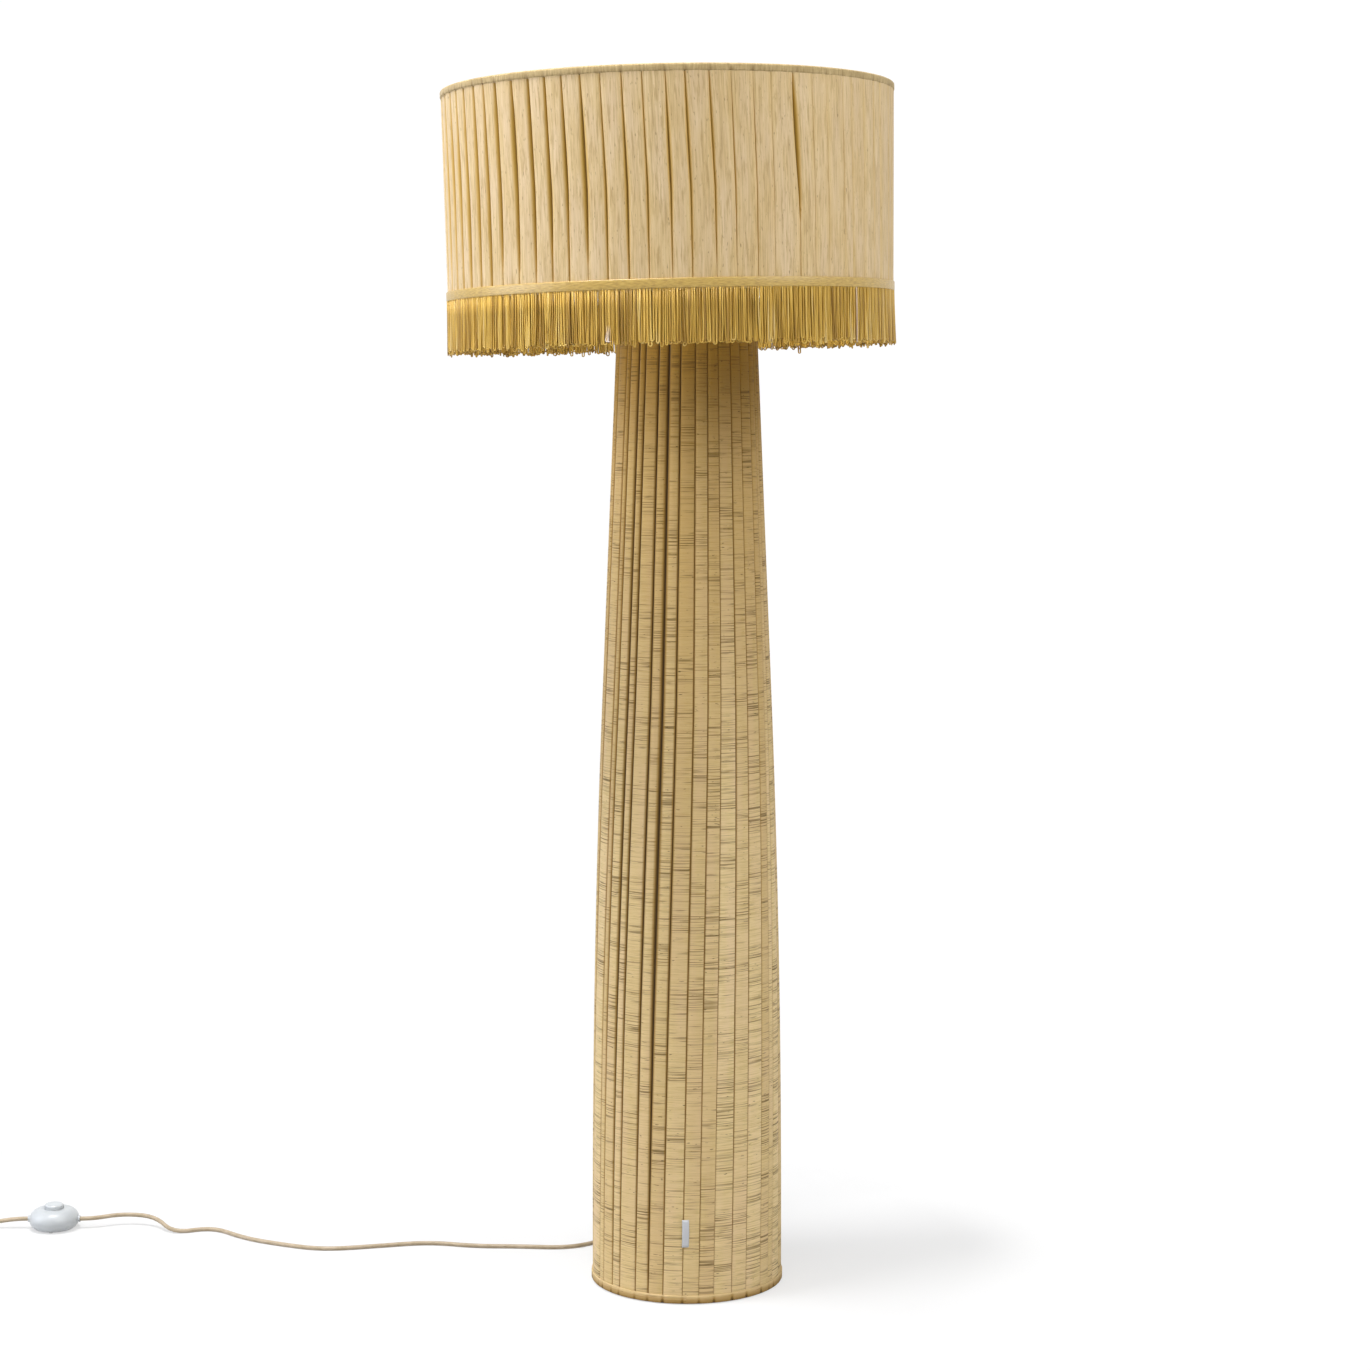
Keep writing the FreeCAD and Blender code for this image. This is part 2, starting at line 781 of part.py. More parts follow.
# Column: a cloth sleeve over a tapered liner, stiffened by wires that stand on a spider on the base
sleeve_top = s.lamp_height - s.sleeve_drop
sleeve_span = s.sleeve_belly_end - s.sleeve_belly_start
sleeve_slope = (s.sleeve_base_radius - s.sleeve_top_radius) / (
    sleeve_span / 2 + sleeve_top - s.sleeve_belly_end)


def sleeve_radius(height):
    """Reach of the column's folds: upright at the foot, then an even curve, then a straight taper."""
    if height.value <= s.sleeve_belly_start.value:
        return s.sleeve_base_radius
    if height.value <= s.sleeve_belly_end.value:
        rise = height - s.sleeve_belly_start
        return s.sleeve_base_radius - sleeve_slope * rise * rise / (2 * sleeve_span)
    belly_end = s.sleeve_base_radius - sleeve_slope * sleeve_span / 2
    return belly_end - sleeve_slope * (height - s.sleeve_belly_end)


sleeve_heights = (
    [s.sleeve_foot_height]
    + [s.sleeve_belly_start + share * sleeve_span for share in BELLY_SHARES]
    + [sleeve_top])
cover_heights = (
    sleeve_heights[:-1]
    + [s.sleeve_belly_end + share * (sleeve_top - s.sleeve_belly_end) for share in TAPER_SHARES]
    + [sleeve_top])
cover_depth = s.sleeve_pleat_depth + s.cloth_thickness
liner_depth = cover_depth + s.fit_gap
liner_inside = liner_depth + s.sleeve_liner_wall


def make_column_frame():
    hub = s.base_hole_radius
    spider = new_body("sleeve_spider")
    plate = sketch_on(spider, "XY_Plane", "Hub", base_top)
    draw_circle(plate, 0, 0, s.spider_hub_radius)
    draw_circle(plate, 0, 0, hub)
    pad(spider, plate, s.spider_thickness)
    ring_height = pivot + s.ring_wire_radius + s.tube_gap
    ring_radius = sleeve_radius(ring_height) - liner_inside - s.fit_gap - s.ring_wire_radius
    half = s.spider_bar_width / 2
    bar = sketch_on(spider, "XY_Plane", "Bar", base_top)
    near = s.spider_hub_radius - s.overrun
    draw(bar, [(near, -half), (ring_radius, -half), (ring_radius, half), (near, half)])
    arm = pad(spider, bar, s.spider_thickness)
    doc.recompute()
    pattern = spider.newObject("PartDesign::PolarPattern", "SpiderBars")
    pattern.Originals = [arm]
    pattern.Axis = (origin_feature(spider, "Z_Axis"), [""])
    pattern.Angle = 360
    pattern.Occurrences = 4
    spider.Tip = pattern
    wire_ring("sleeve_foot_ring", ring_radius, s.ring_wire_radius, ring_height)
    top_height = sleeve_top - s.top_ring_drop
    top_radius = sleeve_radius(top_height) - liner_inside - s.fit_gap - s.ring_wire_radius
    wire_ring("sleeve_top_ring", top_radius, s.ring_wire_radius, top_height)
    solid("sleeve_ribs", Part.makeCompound([
        rib((share + 0.5) / number(s.rib_count) * 2 * math.pi) for share in range(int(number(s.rib_count)))]))


def rib(angle):
    """One upright wire inside both rings, curved like the sleeve."""
    inset = (liner_inside + s.fit_gap + 2 * s.ring_wire_radius + s.tube_gap * 4 + s.rib_radius).value
    low = pivot.value + s.tube_gap.value

    def at(height):
        return around(angle, sleeve_radius(height).value - inset, height.value)

    foot = around(angle, s.sleeve_base_radius.value - inset, low)
    start = at(s.sleeve_belly_start)
    middle = at(s.sleeve_belly_start + sleeve_span / 2)
    end = at(s.sleeve_belly_end)
    top = at(sleeve_top - s.binding_height)
    path = Part.Wire([
        Part.LineSegment(foot, start).toShape(),
        Part.Arc(start, middle, end).toShape(),
        Part.LineSegment(end, top).toShape(),
    ])
    return tube(path, s.rib_radius.value)


def sleeve_outline(inner, outer, heights):
    """Both sides of the sleeve's outline, set in from the folds' reach by two depths."""
    down = [(sleeve_radius(height) - outer, height) for height in heights]
    up = [(sleeve_radius(height) - inner, height) for height in reversed(heights)]
    return down + up


def make_column_cover():
    liner = turned("sleeve_liner", sleeve_outline(liner_inside, liner_depth, sleeve_heights))
    hole = sketch_on(liner, "XZ_Plane", "Hole")
    draw_circle(hole, 0, s.relief_height, s.relief_neck_radius + s.fit_gap)
    pocket(liner, hole, s.sleeve_base_radius + s.overrun, False)
    gaps = pleat_turns(COLUMN_PLEAT_COUNT, COLUMN_FIRST_TURN_SHARE, COLUMN_SHIFT_SHARES)
    levels = []
    for height in cover_heights:
        climbed = (height - s.sleeve_foot_height) / (sleeve_top - s.sleeve_foot_height)
        opening = SHUT_SHARE if height in (cover_heights[0], cover_heights[-1]) else 1
        levels.append((
            height.value, sleeve_radius(height).value, s.sleeve_pleat_depth.value * opening,
            s.sleeve_pleat_twist.value * climbed.value / 360))
    folded = pleated_shell(gaps, levels, cover_depth.value)
    outlet = Part.makeCylinder(
        (s.relief_neck_radius + s.fit_gap).value, (s.sleeve_base_radius + s.overrun).value,
        point(0, 0, s.relief_height), FreeCAD.Vector(0, 1, 0))
    solid("column_cover", folded.cut(outlet))
    hem_low = s.hem_foot_height
    hem_top = s.hem_foot_height + s.hem_height
    hem_inner = s.sleeve_base_radius + s.fit_gap
    turned("column_hem", [
        (hem_inner, hem_low),
        (s.hem_radius, hem_low),
        (hem_inner + s.cloth_thickness, hem_top),
        (hem_inner, hem_top),
    ])
    make_edge_binding("column_top_binding", sleeve_radius, liner_inside, sleeve_top, s.binding_height, False)
    box = doc.addObject("Part::Box", "TabBox")
    for side, size in (("Length", s.tab_width), ("Width", s.tab_thickness), ("Height", s.tab_length)):
        bind(box, side, size)
    stand(
        box, x=-s.tab_left - s.tab_width / 2, y=-(s.sleeve_base_radius + s.fit_gap + s.tab_thickness),
        z=s.tab_height)
    keep(box, "ribbon_tab")


def make_edge_binding(label, reach, depth, top, height, lean):
    """Cloth folded over an edge: a channel that follows both faces of a wall and covers its top."""
    gap = 2 * s.fit_gap
    thick = s.binding_thickness
    low = top - height
    over = top + s.fit_gap
    outer_low = reach(low) + gap
    outer = reach(top) + gap
    inner_low = reach(low) - depth - gap
    inner = reach(top) - depth - gap
    turned(label, [
        (inner_low - thick, low),
        (inner_low, low),
        (inner, over),
        (outer, over),
        (outer_low, low),
        (outer_low + thick, low),
        (outer + thick, over + thick),
        (inner - thick, over + thick),
    ], lean=lean)


def pleat_turns(count, first, shifts):
    """Each gap between pleats, in turns from the front: even steps, each moved by its own share,
    given at the front and from two sines elsewhere."""
    turns = []
    for place in range(min(shifts), min(shifts) + count):
        wander = sum(amount * math.sin(rate * place) for amount, rate in WANDER_SHARES)
        shift = shifts.get(place, wander)
        turns.append(first + (place + shift) / count)
    return turns


def pleated_shell(turns, levels, inset):
    """Pleated cloth: each pleat climbs from its gap over its middle to its fold and drops back in a
    riser. A level is a height, the folds' reach there, the pleats' depth and their twist in turns."""
    places = []
    for gap, after in zip(turns, turns[1:] + [turns[0] + 1]):
        fold = after - RISER_SHARE * (after - gap)
        places += [(gap, 0), ((gap + fold) / 2, MIDDLE_LIFT_SHARE), (fold, 1)]
    outside = []
    inside = []
    for height, reach, depth, twist in levels:
        angles = [(turn + twist) * 2 * math.pi for turn, lift in places]
        folds = [
            around(angle, reach - depth * (1 - lift), height) for angle, (turn, lift) in zip(angles, places)]
        backs = [around(angle, reach - inset, height) for angle in angles]
        outside.append(Part.makePolygon(folds + folds[:1]))
        inside.append(Part.makePolygon(backs + backs[:1]))
    return Part.makeLoft(outside, True, True).cut(Part.makeLoft(inside, True, True))


# Shade: wire rings, struts and a carrier, a liner, pleated cloth, and the edge, trim and fringe
shade_top = along_stem(s.lamp_height - s.shade_edge_drop)
shade_foot = shade_top - s.shade_height
shade_cover_depth = s.shade_pleat_depth + s.cloth_thickness
shade_liner_depth = shade_cover_depth + s.fit_gap
shade_inside = shade_liner_depth + s.shade_liner_wall


def shade_radius(height):
    """Reach of the shade's folds, widening evenly from the foot to the top."""
    return s.shade_top_radius - s.shade_taper * (shade_top - height) / s.shade_height


def make_shade_frame():
    top_height = shade_top - s.shade_ring_inset - s.shade_binding_height
    foot_height = shade_foot + s.shade_ring_inset
    inset = shade_inside + s.fit_gap + s.ring_wire_radius
    top_radius = shade_radius(top_height) - inset
    foot_radius = shade_radius(foot_height) - inset
    wire_ring("shade_top_ring", top_radius, s.ring_wire_radius, top_height, lean=True)
    wire_ring("shade_foot_ring", foot_radius, s.ring_wire_radius, foot_height, lean=True)
    end_gap = s.ring_wire_radius + s.tube_gap
    low = number(foot_height + end_gap)
    high = number(top_height - end_gap)
    struts = []
    count = int(number(s.strut_count))
    for place in range(count):
        angle = place / count * 2 * math.pi
        start = around(angle, foot_radius.value, low)
        end = around(angle, top_radius.value, high)
        foot = leaning(start.x, start.y, start.z)
        way = leaning(end.x, end.y, end.z) - foot
        struts.append(Part.makeCylinder(s.strut_radius.value, way.Length, foot, way))
    solid("shade_struts", Part.makeCompound(struts))
    make_carrier(foot_radius, foot_height)


def make_carrier(ring_radius, ring_height):
    """The hub ring on the lampholder's collar, with straight arms down to the foot ring."""
    bore = s.skirt_radius + s.running_gap
    middle = (hub_low + s.hub_thickness / 2).value
    hub = Part.makeCylinder(s.hub_radius.value, s.hub_thickness.value, point(0, 0, hub_low))
    arms = []
    count = int(number(s.arm_count))
    near = (s.hub_radius - s.arm_radius).value
    far = (ring_radius - s.ring_wire_radius - s.fit_gap).value
    for place in range(count):
        angle = (place + 0.5) / count * 2 * math.pi
        start = around(angle, near, middle)
        end = around(angle, far, ring_height.value)
        arms.append(Part.makeCylinder(s.arm_radius.value, (end - start).Length, start, end - start))
    hole = Part.makeCylinder(
        bore.value, s.holder_radius.value, point(0, 0, hub_low - s.holder_radius / 2))
    carrier = hub.fuse(arms).cut(hole).removeSplitter()
    carrier.Placement = lean_placement()
    solid("shade_carrier", carrier)


def lean_placement():
    return FreeCAD.Placement(
        point(0, 0, pivot), FreeCAD.Rotation(FreeCAD.Vector(0, -1, 0), s.stem_lean.value))


def make_shade_cloth():
    turned("shade_liner", [
        (shade_radius(shade_foot) - shade_inside, shade_foot),
        (shade_radius(shade_foot) - shade_liner_depth, shade_foot),
        (shade_radius(shade_top) - shade_liner_depth, shade_top),
        (shade_radius(shade_top) - shade_inside, shade_top),
    ], lean=True)
    gaps = pleat_turns(SHADE_PLEAT_COUNT, SHADE_FIRST_TURN_SHARE, SHADE_SHIFT_SHARES)
    levels = []
    for share, opening in SHADE_OPENING_SHARES:
        height = shade_foot + share * s.shade_height
        levels.append((
            height.value, shade_radius(height).value, s.shade_pleat_depth.value * opening,
            s.shade_pleat_twist.value * (1 - share) / 360))
    cover = solid("shade_cover", pleated_shell(gaps, levels, shade_cover_depth.value))
    cover.Placement = lean_placement()
    make_edge_binding(
        "shade_top_binding", shade_radius, shade_inside, shade_top, s.shade_binding_height, True)
    trim_low = shade_foot - s.trim_drop
    trim_high = trim_low + s.trim_height
    trim_inner_high = shade_radius(trim_high) + s.fit_gap
    trim_inner_low = shade_radius(trim_low) + s.fit_gap
    trim_outer_low = trim_inner_low + s.trim_thickness
    turned("shade_trim", [
        (trim_inner_low, trim_low),
        (trim_outer_low, trim_low),
        (trim_inner_high + s.trim_thickness, trim_high),
        (trim_inner_high, trim_high),
    ], lean=True)
    fringe_top = trim_low - s.tube_gap
    fringe_low = fringe_top - s.fringe_length
    fringe_outer = trim_outer_low + s.fringe_flare
    turned("shade_fringe", [
        (fringe_outer - s.fringe_thickness, fringe_low),
        (fringe_outer, fringe_low),
        (trim_outer_low, fringe_top),
        (trim_outer_low - s.fringe_thickness, fringe_top),
    ], lean=True)


# Strain relief in the column's back, and the lead inside, from there through the stem to the lampholder
relief_wall = sleeve_radius(s.relief_height) - liner_inside
relief_back = relief_wall - s.fit_gap - s.relief_flange_thickness
relief_neck = s.relief_flange_thickness + s.fit_gap + liner_inside + s.fit_gap
relief_length = relief_neck + s.relief_taper_length
AXIS_TO_BACK = FreeCAD.Rotation(FreeCAD.Vector(1, 0, 0), -90)


def make_inner_lead():
    relief = turned("column_strain_relief", [
        (0, 0),
        (s.relief_flange_radius, 0),
        (s.relief_flange_radius, s.relief_flange_thickness),
        (s.relief_neck_radius, s.relief_flange_thickness),
        (s.relief_neck_radius, relief_neck),
        (s.relief_taper_radius, relief_neck),
        (s.relief_end_radius, relief_length),
        (0, relief_length),
    ])
    relief.Placement.Rotation = AXIS_TO_BACK
    stand(relief, y=relief_back, z=s.relief_height)
    slot_middle = (along_stem(s.lead_slot_low) + along_stem(s.lead_slot_high)) / 2
    solid("inner_lead", tube(route([
        leaning(0, 0, core_low),
        leaning(0, 0, slot_middle),
        point(0, relief_back * LEAD_LEVEL_SHARE, s.relief_height),
        point(0, relief_back, s.relief_height),
    ]), s.cord_radius.value))


# Foot switch: a domed housing on a shallow base shell, with a sprung round button
def make_switch():
    x = -s.switch_left
    y = s.switch_back
    rubber_top = s.switch_rubber_height
    seam = s.switch_seam_height
    wall = s.switch_wall
    pieces = []
    rubber_inner = s.switch_rubber_radius - s.switch_rubber_width
    pieces.append(turned("switch_rubber_foot", tube_wall(
        rubber_inner, s.switch_rubber_radius, 0, rubber_top)))
    floor = rubber_top + s.switch_floor
    shell = turned("switch_base_shell", [
        (0, rubber_top),
        (s.switch_foot_radius, rubber_top),
        (s.switch_seam_radius, seam),
        (s.switch_seam_radius - wall, seam),
        (s.switch_foot_radius - wall, floor),
        (0, floor),
    ], bends=[(1, s.switch_dome_radius, 1), (3, s.switch_dome_radius, -1)])
    sink = sketch_on(shell, "XY_Plane", "Heads")
    draw_circle(sink, 0, s.screw_place, s.screw_radius + s.thread_gap)
    draw_circle(sink, 0, -s.screw_place, s.screw_radius + s.thread_gap)
    pocket(shell, sink, floor + s.overrun, True)
    pieces.append(shell)
    hole = s.button_radius + s.fit_gap
    housing = turned("switch_housing", [
        (s.switch_seam_radius - wall, seam),
        (s.switch_seam_radius, seam),
        (s.switch_crown_radius, s.switch_top_height),
        (hole, s.switch_top_height),
        (hole, s.switch_top_height - wall),
        (s.switch_crown_radius - wall / 2, s.switch_top_height - wall),
    ], bends=[(1, s.switch_dome_radius, 1), (5, s.switch_dome_radius - wall / 2, -1)])
    boss = sketch_on(housing, "XY_Plane", "Bosses", seam)
    draw_circle(boss, 0, s.screw_place, s.boss_radius)
    draw_circle(boss, 0, -s.screw_place, s.boss_radius)
    pad(housing, boss, s.boss_top_height - seam)
    thread = sketch_on(housing, "XY_Plane", "Threads", seam)
    draw_circle(thread, 0, s.screw_place, s.screw_radius + s.thread_gap)
    draw_circle(thread, 0, -s.screw_place, s.screw_radius + s.thread_gap)
    pocket(housing, thread, s.screw_length - floor + s.screw_head_height, True)
    outlet = sketch_on(housing, "YZ_Plane", "Outlets")
    draw_circle(outlet, 0, s.switch_cord_height, s.switch_grommet_radius + s.thread_gap)
    cut = pocket(housing, outlet, 2 * (s.switch_grommet_outer + s.overrun), False)
    cut.Midplane = True
    pieces.append(housing)
    flange_top = s.switch_top_height - wall - s.thread_gap
    flange_low = flange_top - s.button_flange_thickness
    pieces.append(turned("switch_button", [
        (s.button_bore, flange_low),
        (s.button_flange_radius, flange_low),
        (s.button_flange_radius, flange_top),
        (s.button_radius, flange_top),
        (s.button_radius, s.button_top_height - s.button_edge),
        (s.button_radius - s.button_edge, s.button_top_height),
        (0, s.button_top_height),
        (0, s.switch_top_height),
        (s.button_bore, s.switch_top_height),
    ]))
    for piece in pieces:
        stand(piece, x=x, y=y)
    half_length = s.block_length / 2
    half_width = s.block_width / 2
    block_piece = block("switch_contact_block", [
        (-half_length, -half_width), (half_length, -half_width), (half_length, half_width),
        (-half_length, half_width)], floor, s.block_height)
    stand(block_piece, x=x, y=y)
    block_top = floor + s.block_height
    terminals = []
    for side in (-1, 1):
        for end in (-1, 1):
            terminals.append(cylinder(
                "Terminal", s.terminal_radius, s.terminal_height,
                x=x + side * (half_length - s.terminal_inset / 2),
                y=y + end * (half_width - s.terminal_inset / 2), z=block_top))
    group("switch_terminals", terminals)
    screws = [screw(x, y + side * s.screw_place, rubber_top) for side in (-1, 1)]
    group("switch_screws", screws)
    solid("switch_spring", button_spring(x, y, block_top, s.switch_top_height))
    grommets = []
    for side in (-1, 1):
        grommet = cylinder(
            "Grommet", s.switch_grommet_radius, s.switch_grommet_outer - s.switch_grommet_inner)
        grommet.Placement.Rotation = FreeCAD.Rotation(FreeCAD.Vector(0, 1, 0), 90 * side)
        stand(grommet, x=x + side * s.switch_grommet_inner, y=y, z=s.switch_cord_height)
        grommets.append(grommet)
    group("switch_grommets", grommets)


def screw(x, y, low):
    """A small screw with its head against the base shell's outside."""
    shank = cylinder("Shank", s.screw_radius, s.screw_length, x, y, low)
    head = cylinder("Head", s.screw_head_radius, s.screw_head_height, x, y, low - s.screw_head_height)
    joined = doc.addObject("Part::Fuse", "Screw")
    joined.Base = shank
    joined.Tool = head
    return joined


def biarc(start, ahead, end, onward):
    """Two arcs that leave one point along one direction and reach another along a second."""
    chord = end - start
    both = ahead + onward
    turn = 2 * (1 - ahead.dot(onward))
    lean = chord.dot(both)
    reach = (math.sqrt(lean * lean + turn * chord.dot(chord)) - lean) / turn
    joint = (start + end + (ahead - onward) * reach) / 2
    return [
        arc_to(start, start + ahead * reach, joint),
        arc_to(joint, end - onward * reach, end),
    ]


def arc_to(start, corner, end):
    """The arc that touches both sides of a corner at its two ends."""
    middle = (start + end) / 2
    half_chord = (end - start).Length / 2
    half_turn = math.acos(min(1, half_chord / (corner - start).Length))
    outward = (corner - middle).normalize()
    return Part.Arc(start, middle + outward * half_chord * math.tan(half_turn / 2), end).toShape()


def wound(place, steps, setting_out=None, arriving=None):
    """A smooth wound path through place(0) to place(steps): a biarc for each quarter turn."""
    ways = [
        (place(step + NEARBY_SHARE) - place(step - NEARBY_SHARE)).normalize() for step in range(steps + 1)]
    ways[0] = setting_out or ways[0]
    ways[steps] = arriving or ways[steps]
    edges = []
    for step in range(steps):
        edges += biarc(place(step), ways[step], place(step + 1), ways[step + 1])
    return edges


def button_spring(x, y, low, high):
    """An open coil spring that stands on the contact block and fills the button's bore."""
    steps = int(number(s.spring_turns)) * 4
    wire = s.spring_wire.value
    start = low.value + wire
    rise = (high.value - wire - start) / steps

    def place(step):
        angle = step * math.pi / 2
        return point(x, y, start + rise * step) + FreeCAD.Vector(
            s.spring_radius.value * math.cos(angle), s.spring_radius.value * math.sin(angle), 0)

    return tube(Part.Wire(wound(place, steps)), wire)


# Lead outside: to the foot switch, on to the coil, the coil itself with its tie, and the plug
coil_low = s.cord_radius + s.tie_thickness + s.thread_gap
coil_high = coil_low + s.coil_pitch
QUARTERS_IN = round(4 * number(s.coil_turns_in))
QUARTERS_OUT = round(4 * number(s.coil_turns_out))
CLIMB_COUNT = 2
QUARTERS = QUARTERS_IN + CLIMB_COUNT + QUARTERS_OUT


def coil_radius(step):
    """Reach of the coil's middle line: in at a steady rate to the middle of the climb, then out."""
    middle = QUARTERS_IN + CLIMB_COUNT / 2
    return s.coil_inner_radius + s.coil_pitch * (abs(step - middle) / 4)


def coil_place(step):
    """The coil's middle line at a number of quarter turns, clockwise from the front; it goes up one
    layer in the half turn where it reverses."""
    share = min(max((step - QUARTERS_IN) / CLIMB_COUNT, 0), 1)
    rise = s.coil_pitch.value * (1 - math.cos(math.pi * share)) / 2
    turn = -0.25 - step / 4
    angle = turn * 2 * math.pi
    radius = coil_radius(step).value
    centre = point(-s.coil_left, s.coil_back, coil_low)
    return centre + FreeCAD.Vector(radius * math.cos(angle), radius * math.sin(angle), rise)


def coil_path():
    """The wound path with a straight end on each side."""
    straight = s.coil_straight_end.value
    first = coil_place(0)
    last = coil_place(QUARTERS)
    entry = first + FreeCAD.Vector(straight, 0, 0)
    leaving = last + FreeCAD.Vector(0, straight, 0)
    edges = [Part.LineSegment(entry, first).toShape()]
    edges += wound(coil_place, QUARTERS, FreeCAD.Vector(-1, 0, 0), FreeCAD.Vector(0, 1, 0))
    edges.append(Part.LineSegment(last, leaving).toShape())
    return Part.Wire(edges), entry


def least_gap(path, diameter, skip):
    """The smallest gap that a tube leaves to itself, on points a few millimetres apart."""
    points = path.discretize(Distance=diameter / 2)
    step = path.Length / (len(points) - 1)
    apart = int(skip / step)
    return min(
        (a - b).Length for place, a in enumerate(points) for b in points[place + apart:]) - diameter


def make_cords():
    radius = s.cord_radius.value
    relief_end = point(0, relief_back + relief_length, s.relief_height)
    switch = point(-s.switch_left, s.switch_back, s.switch_cord_height)
    outer = FreeCAD.Vector(s.switch_grommet_outer.value, 0, 0)
    lamp_points = [relief_end] + [FreeCAD.Vector(*place) for place in LAMP_ROUTE] + [switch + outer]
    lamp_path = route(lamp_points)
    report_cord("lamp_cord", lamp_path, solid("lamp_cord", tube(lamp_path, radius)), radius)
    path, entry = coil_path()
    plug_points = [switch - outer] + [FreeCAD.Vector(*place) for place in PLUG_ROUTE] + [entry]
    plug_path = route(plug_points)
    report_cord("plug_cord", plug_path, solid("plug_cord", tube(plug_path, radius)), radius)
    report_cord("cord_coil", path, solid("cord_coil", tube(path, radius)), radius)
    print("coil: least gap to itself", round(least_gap(path, 2 * radius, 4 * s.coil_inner_radius.value), 2))
    make_tie()
    make_plug()


def report_cord(name, path, piece, radius):
    expected = math.pi * radius ** 2 * path.Length
    print(name, "length", round(path.Length, 1), "volume share", round(piece.Shape.Volume / expected, 4))


def make_tie():
    """A flat strap around the coil's section, at the back right."""
    reach = s.cord_radius + s.tie_gap
    inner = s.coil_inner_radius - reach
    outer = coil_radius(4 * TIE_TURN_SHARE) + reach
    low = s.tie_thickness
    high = coil_high + reach
    body = new_body("cord_tie")
    sketch = sketch_on(body, "XZ_Plane", "Strap")
    draw(sketch, [
        (inner - s.tie_thickness, 0), (outer + s.tie_thickness, 0),
        (outer + s.tie_thickness, high + s.tie_thickness), (inner - s.tie_thickness, high + s.tie_thickness)])
    strap = pad(body, sketch, s.tie_width)
    strap.Midplane = True
    doc.recompute()
    hollow = sketch_on(body, "XZ_Plane", "Hollow")
    draw(hollow, [(inner, low), (outer, low), (outer, high), (inner, high)])
    cut = pocket(body, hollow, s.tie_width + 2 * s.overrun, False)
    cut.Midplane = True
    body.Placement.Rotation = FreeCAD.Rotation(FreeCAD.Vector(0, 0, 1), 45)
    stand(body, x=-s.coil_left, y=s.coil_back)


def make_plug():
    """A flat two-pin plug that lies beside the coil, its axis along +Y from the cord's end."""
    x = -s.coil_left - coil_radius(QUARTERS)
    y = s.coil_back + s.coil_straight_end
    z = coil_high
    relief = turned("plug_strain_relief", [
        (0, 0), (s.relief_end_radius, 0), (s.plug_relief_radius, s.plug_relief_length),
        (0, s.plug_relief_length)])
    relief.Placement.Rotation = AXIS_TO_BACK
    stand(relief, x=x, y=y, z=z)
    half_width = s.plug_width / 2
    body = block("plug_body", [(-half_width, -z), (half_width, -z), (half_width, z), (-half_width, z)],
                 s.plug_relief_length, s.plug_length)
    doc.recompute()
    pad_feature = body.Tip
    rounded = body.newObject("PartDesign::Fillet", "PlugEdges")
    upright = [
        "Edge%d" % (place + 1) for place, edge in enumerate(pad_feature.Shape.Edges)
        if abs(edge.Length - s.plug_length.value) < s.thread_gap.value]
    rounded.Base = (pad_feature, upright)
    rounded.Radius = s.plug_fillet.value
    bind(rounded, "Radius", s.plug_fillet)
    body.Placement.Rotation = AXIS_TO_BACK
    stand(body, x=x, y=y, z=z)
    pins = []
    for side in (-1, 1):
        pin = cylinder("Pin", s.pin_radius, s.pin_length)
        pin.Placement.Rotation = AXIS_TO_BACK
        stand(pin, x=x + side * s.pin_spacing / 2, y=y + s.plug_relief_length + s.plug_length, z=z)
        pins.append(pin)
    group("plug_pins", pins)


make_base()
make_stem()
make_lampholder()
make_bulb()
make_column_frame()
make_column_cover()
make_shade_frame()
make_shade_cloth()
make_inner_lead()
make_switch()
make_cords()
doc.recompute()

for count, length, radius in least_radii:
    print("route of", count, "points, length", round(length, 1), "least bend radius", round(radius, 1))
for thing in doc.Objects:
    if "Invalid" in thing.State or "Error" in thing.State:
        raise RuntimeError("%s did not compute: %s" % (thing.Label, thing.State))
for thing in nodes:
    if thing.Shape.isNull() or not thing.Shape.isValid() or not thing.Shape.Solids:
        raise RuntimeError("%s has no valid solid" % thing.Label)
os.makedirs("parts", exist_ok=True)
for thing in nodes:
    thing.Shape.exportStep(os.path.join("parts", thing.Label + ".step"))
print(len(nodes), "pieces")
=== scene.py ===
import math

import bpy
import numpy as np
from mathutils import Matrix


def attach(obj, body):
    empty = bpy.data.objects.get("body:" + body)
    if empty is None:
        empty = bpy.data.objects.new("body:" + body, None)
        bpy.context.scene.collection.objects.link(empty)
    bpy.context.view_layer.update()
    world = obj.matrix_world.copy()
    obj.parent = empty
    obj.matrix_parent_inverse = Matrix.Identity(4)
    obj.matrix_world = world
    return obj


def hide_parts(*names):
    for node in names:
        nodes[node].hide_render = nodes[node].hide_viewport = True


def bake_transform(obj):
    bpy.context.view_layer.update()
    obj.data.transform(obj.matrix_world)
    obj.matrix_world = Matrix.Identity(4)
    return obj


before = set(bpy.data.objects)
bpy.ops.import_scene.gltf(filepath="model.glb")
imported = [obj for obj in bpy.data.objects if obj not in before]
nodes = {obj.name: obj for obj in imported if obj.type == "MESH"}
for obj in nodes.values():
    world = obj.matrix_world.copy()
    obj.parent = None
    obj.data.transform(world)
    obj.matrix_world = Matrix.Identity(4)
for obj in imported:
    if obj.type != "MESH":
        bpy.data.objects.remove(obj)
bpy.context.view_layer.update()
MM = 0.001
TURN = 2 * math.pi

# The stem, lampholder and shade lean by this angle towards -X, about this height
LEAN = math.radians(0.95)
PIVOT = 0.0185
# The shade's axis stands this far to the column's left at the fringe
SHADE_SHIFT = 0.0195
# Brightness of the even light from all round
WORLD_LEVEL = 0.15
# Strength at which the camera sees the background as pure white
SEEN_WHITE = 1.02
# Millimetres of yarn to a turn of its ply: twice the real 0.6 mm, so that it shows
PLY = 1.2


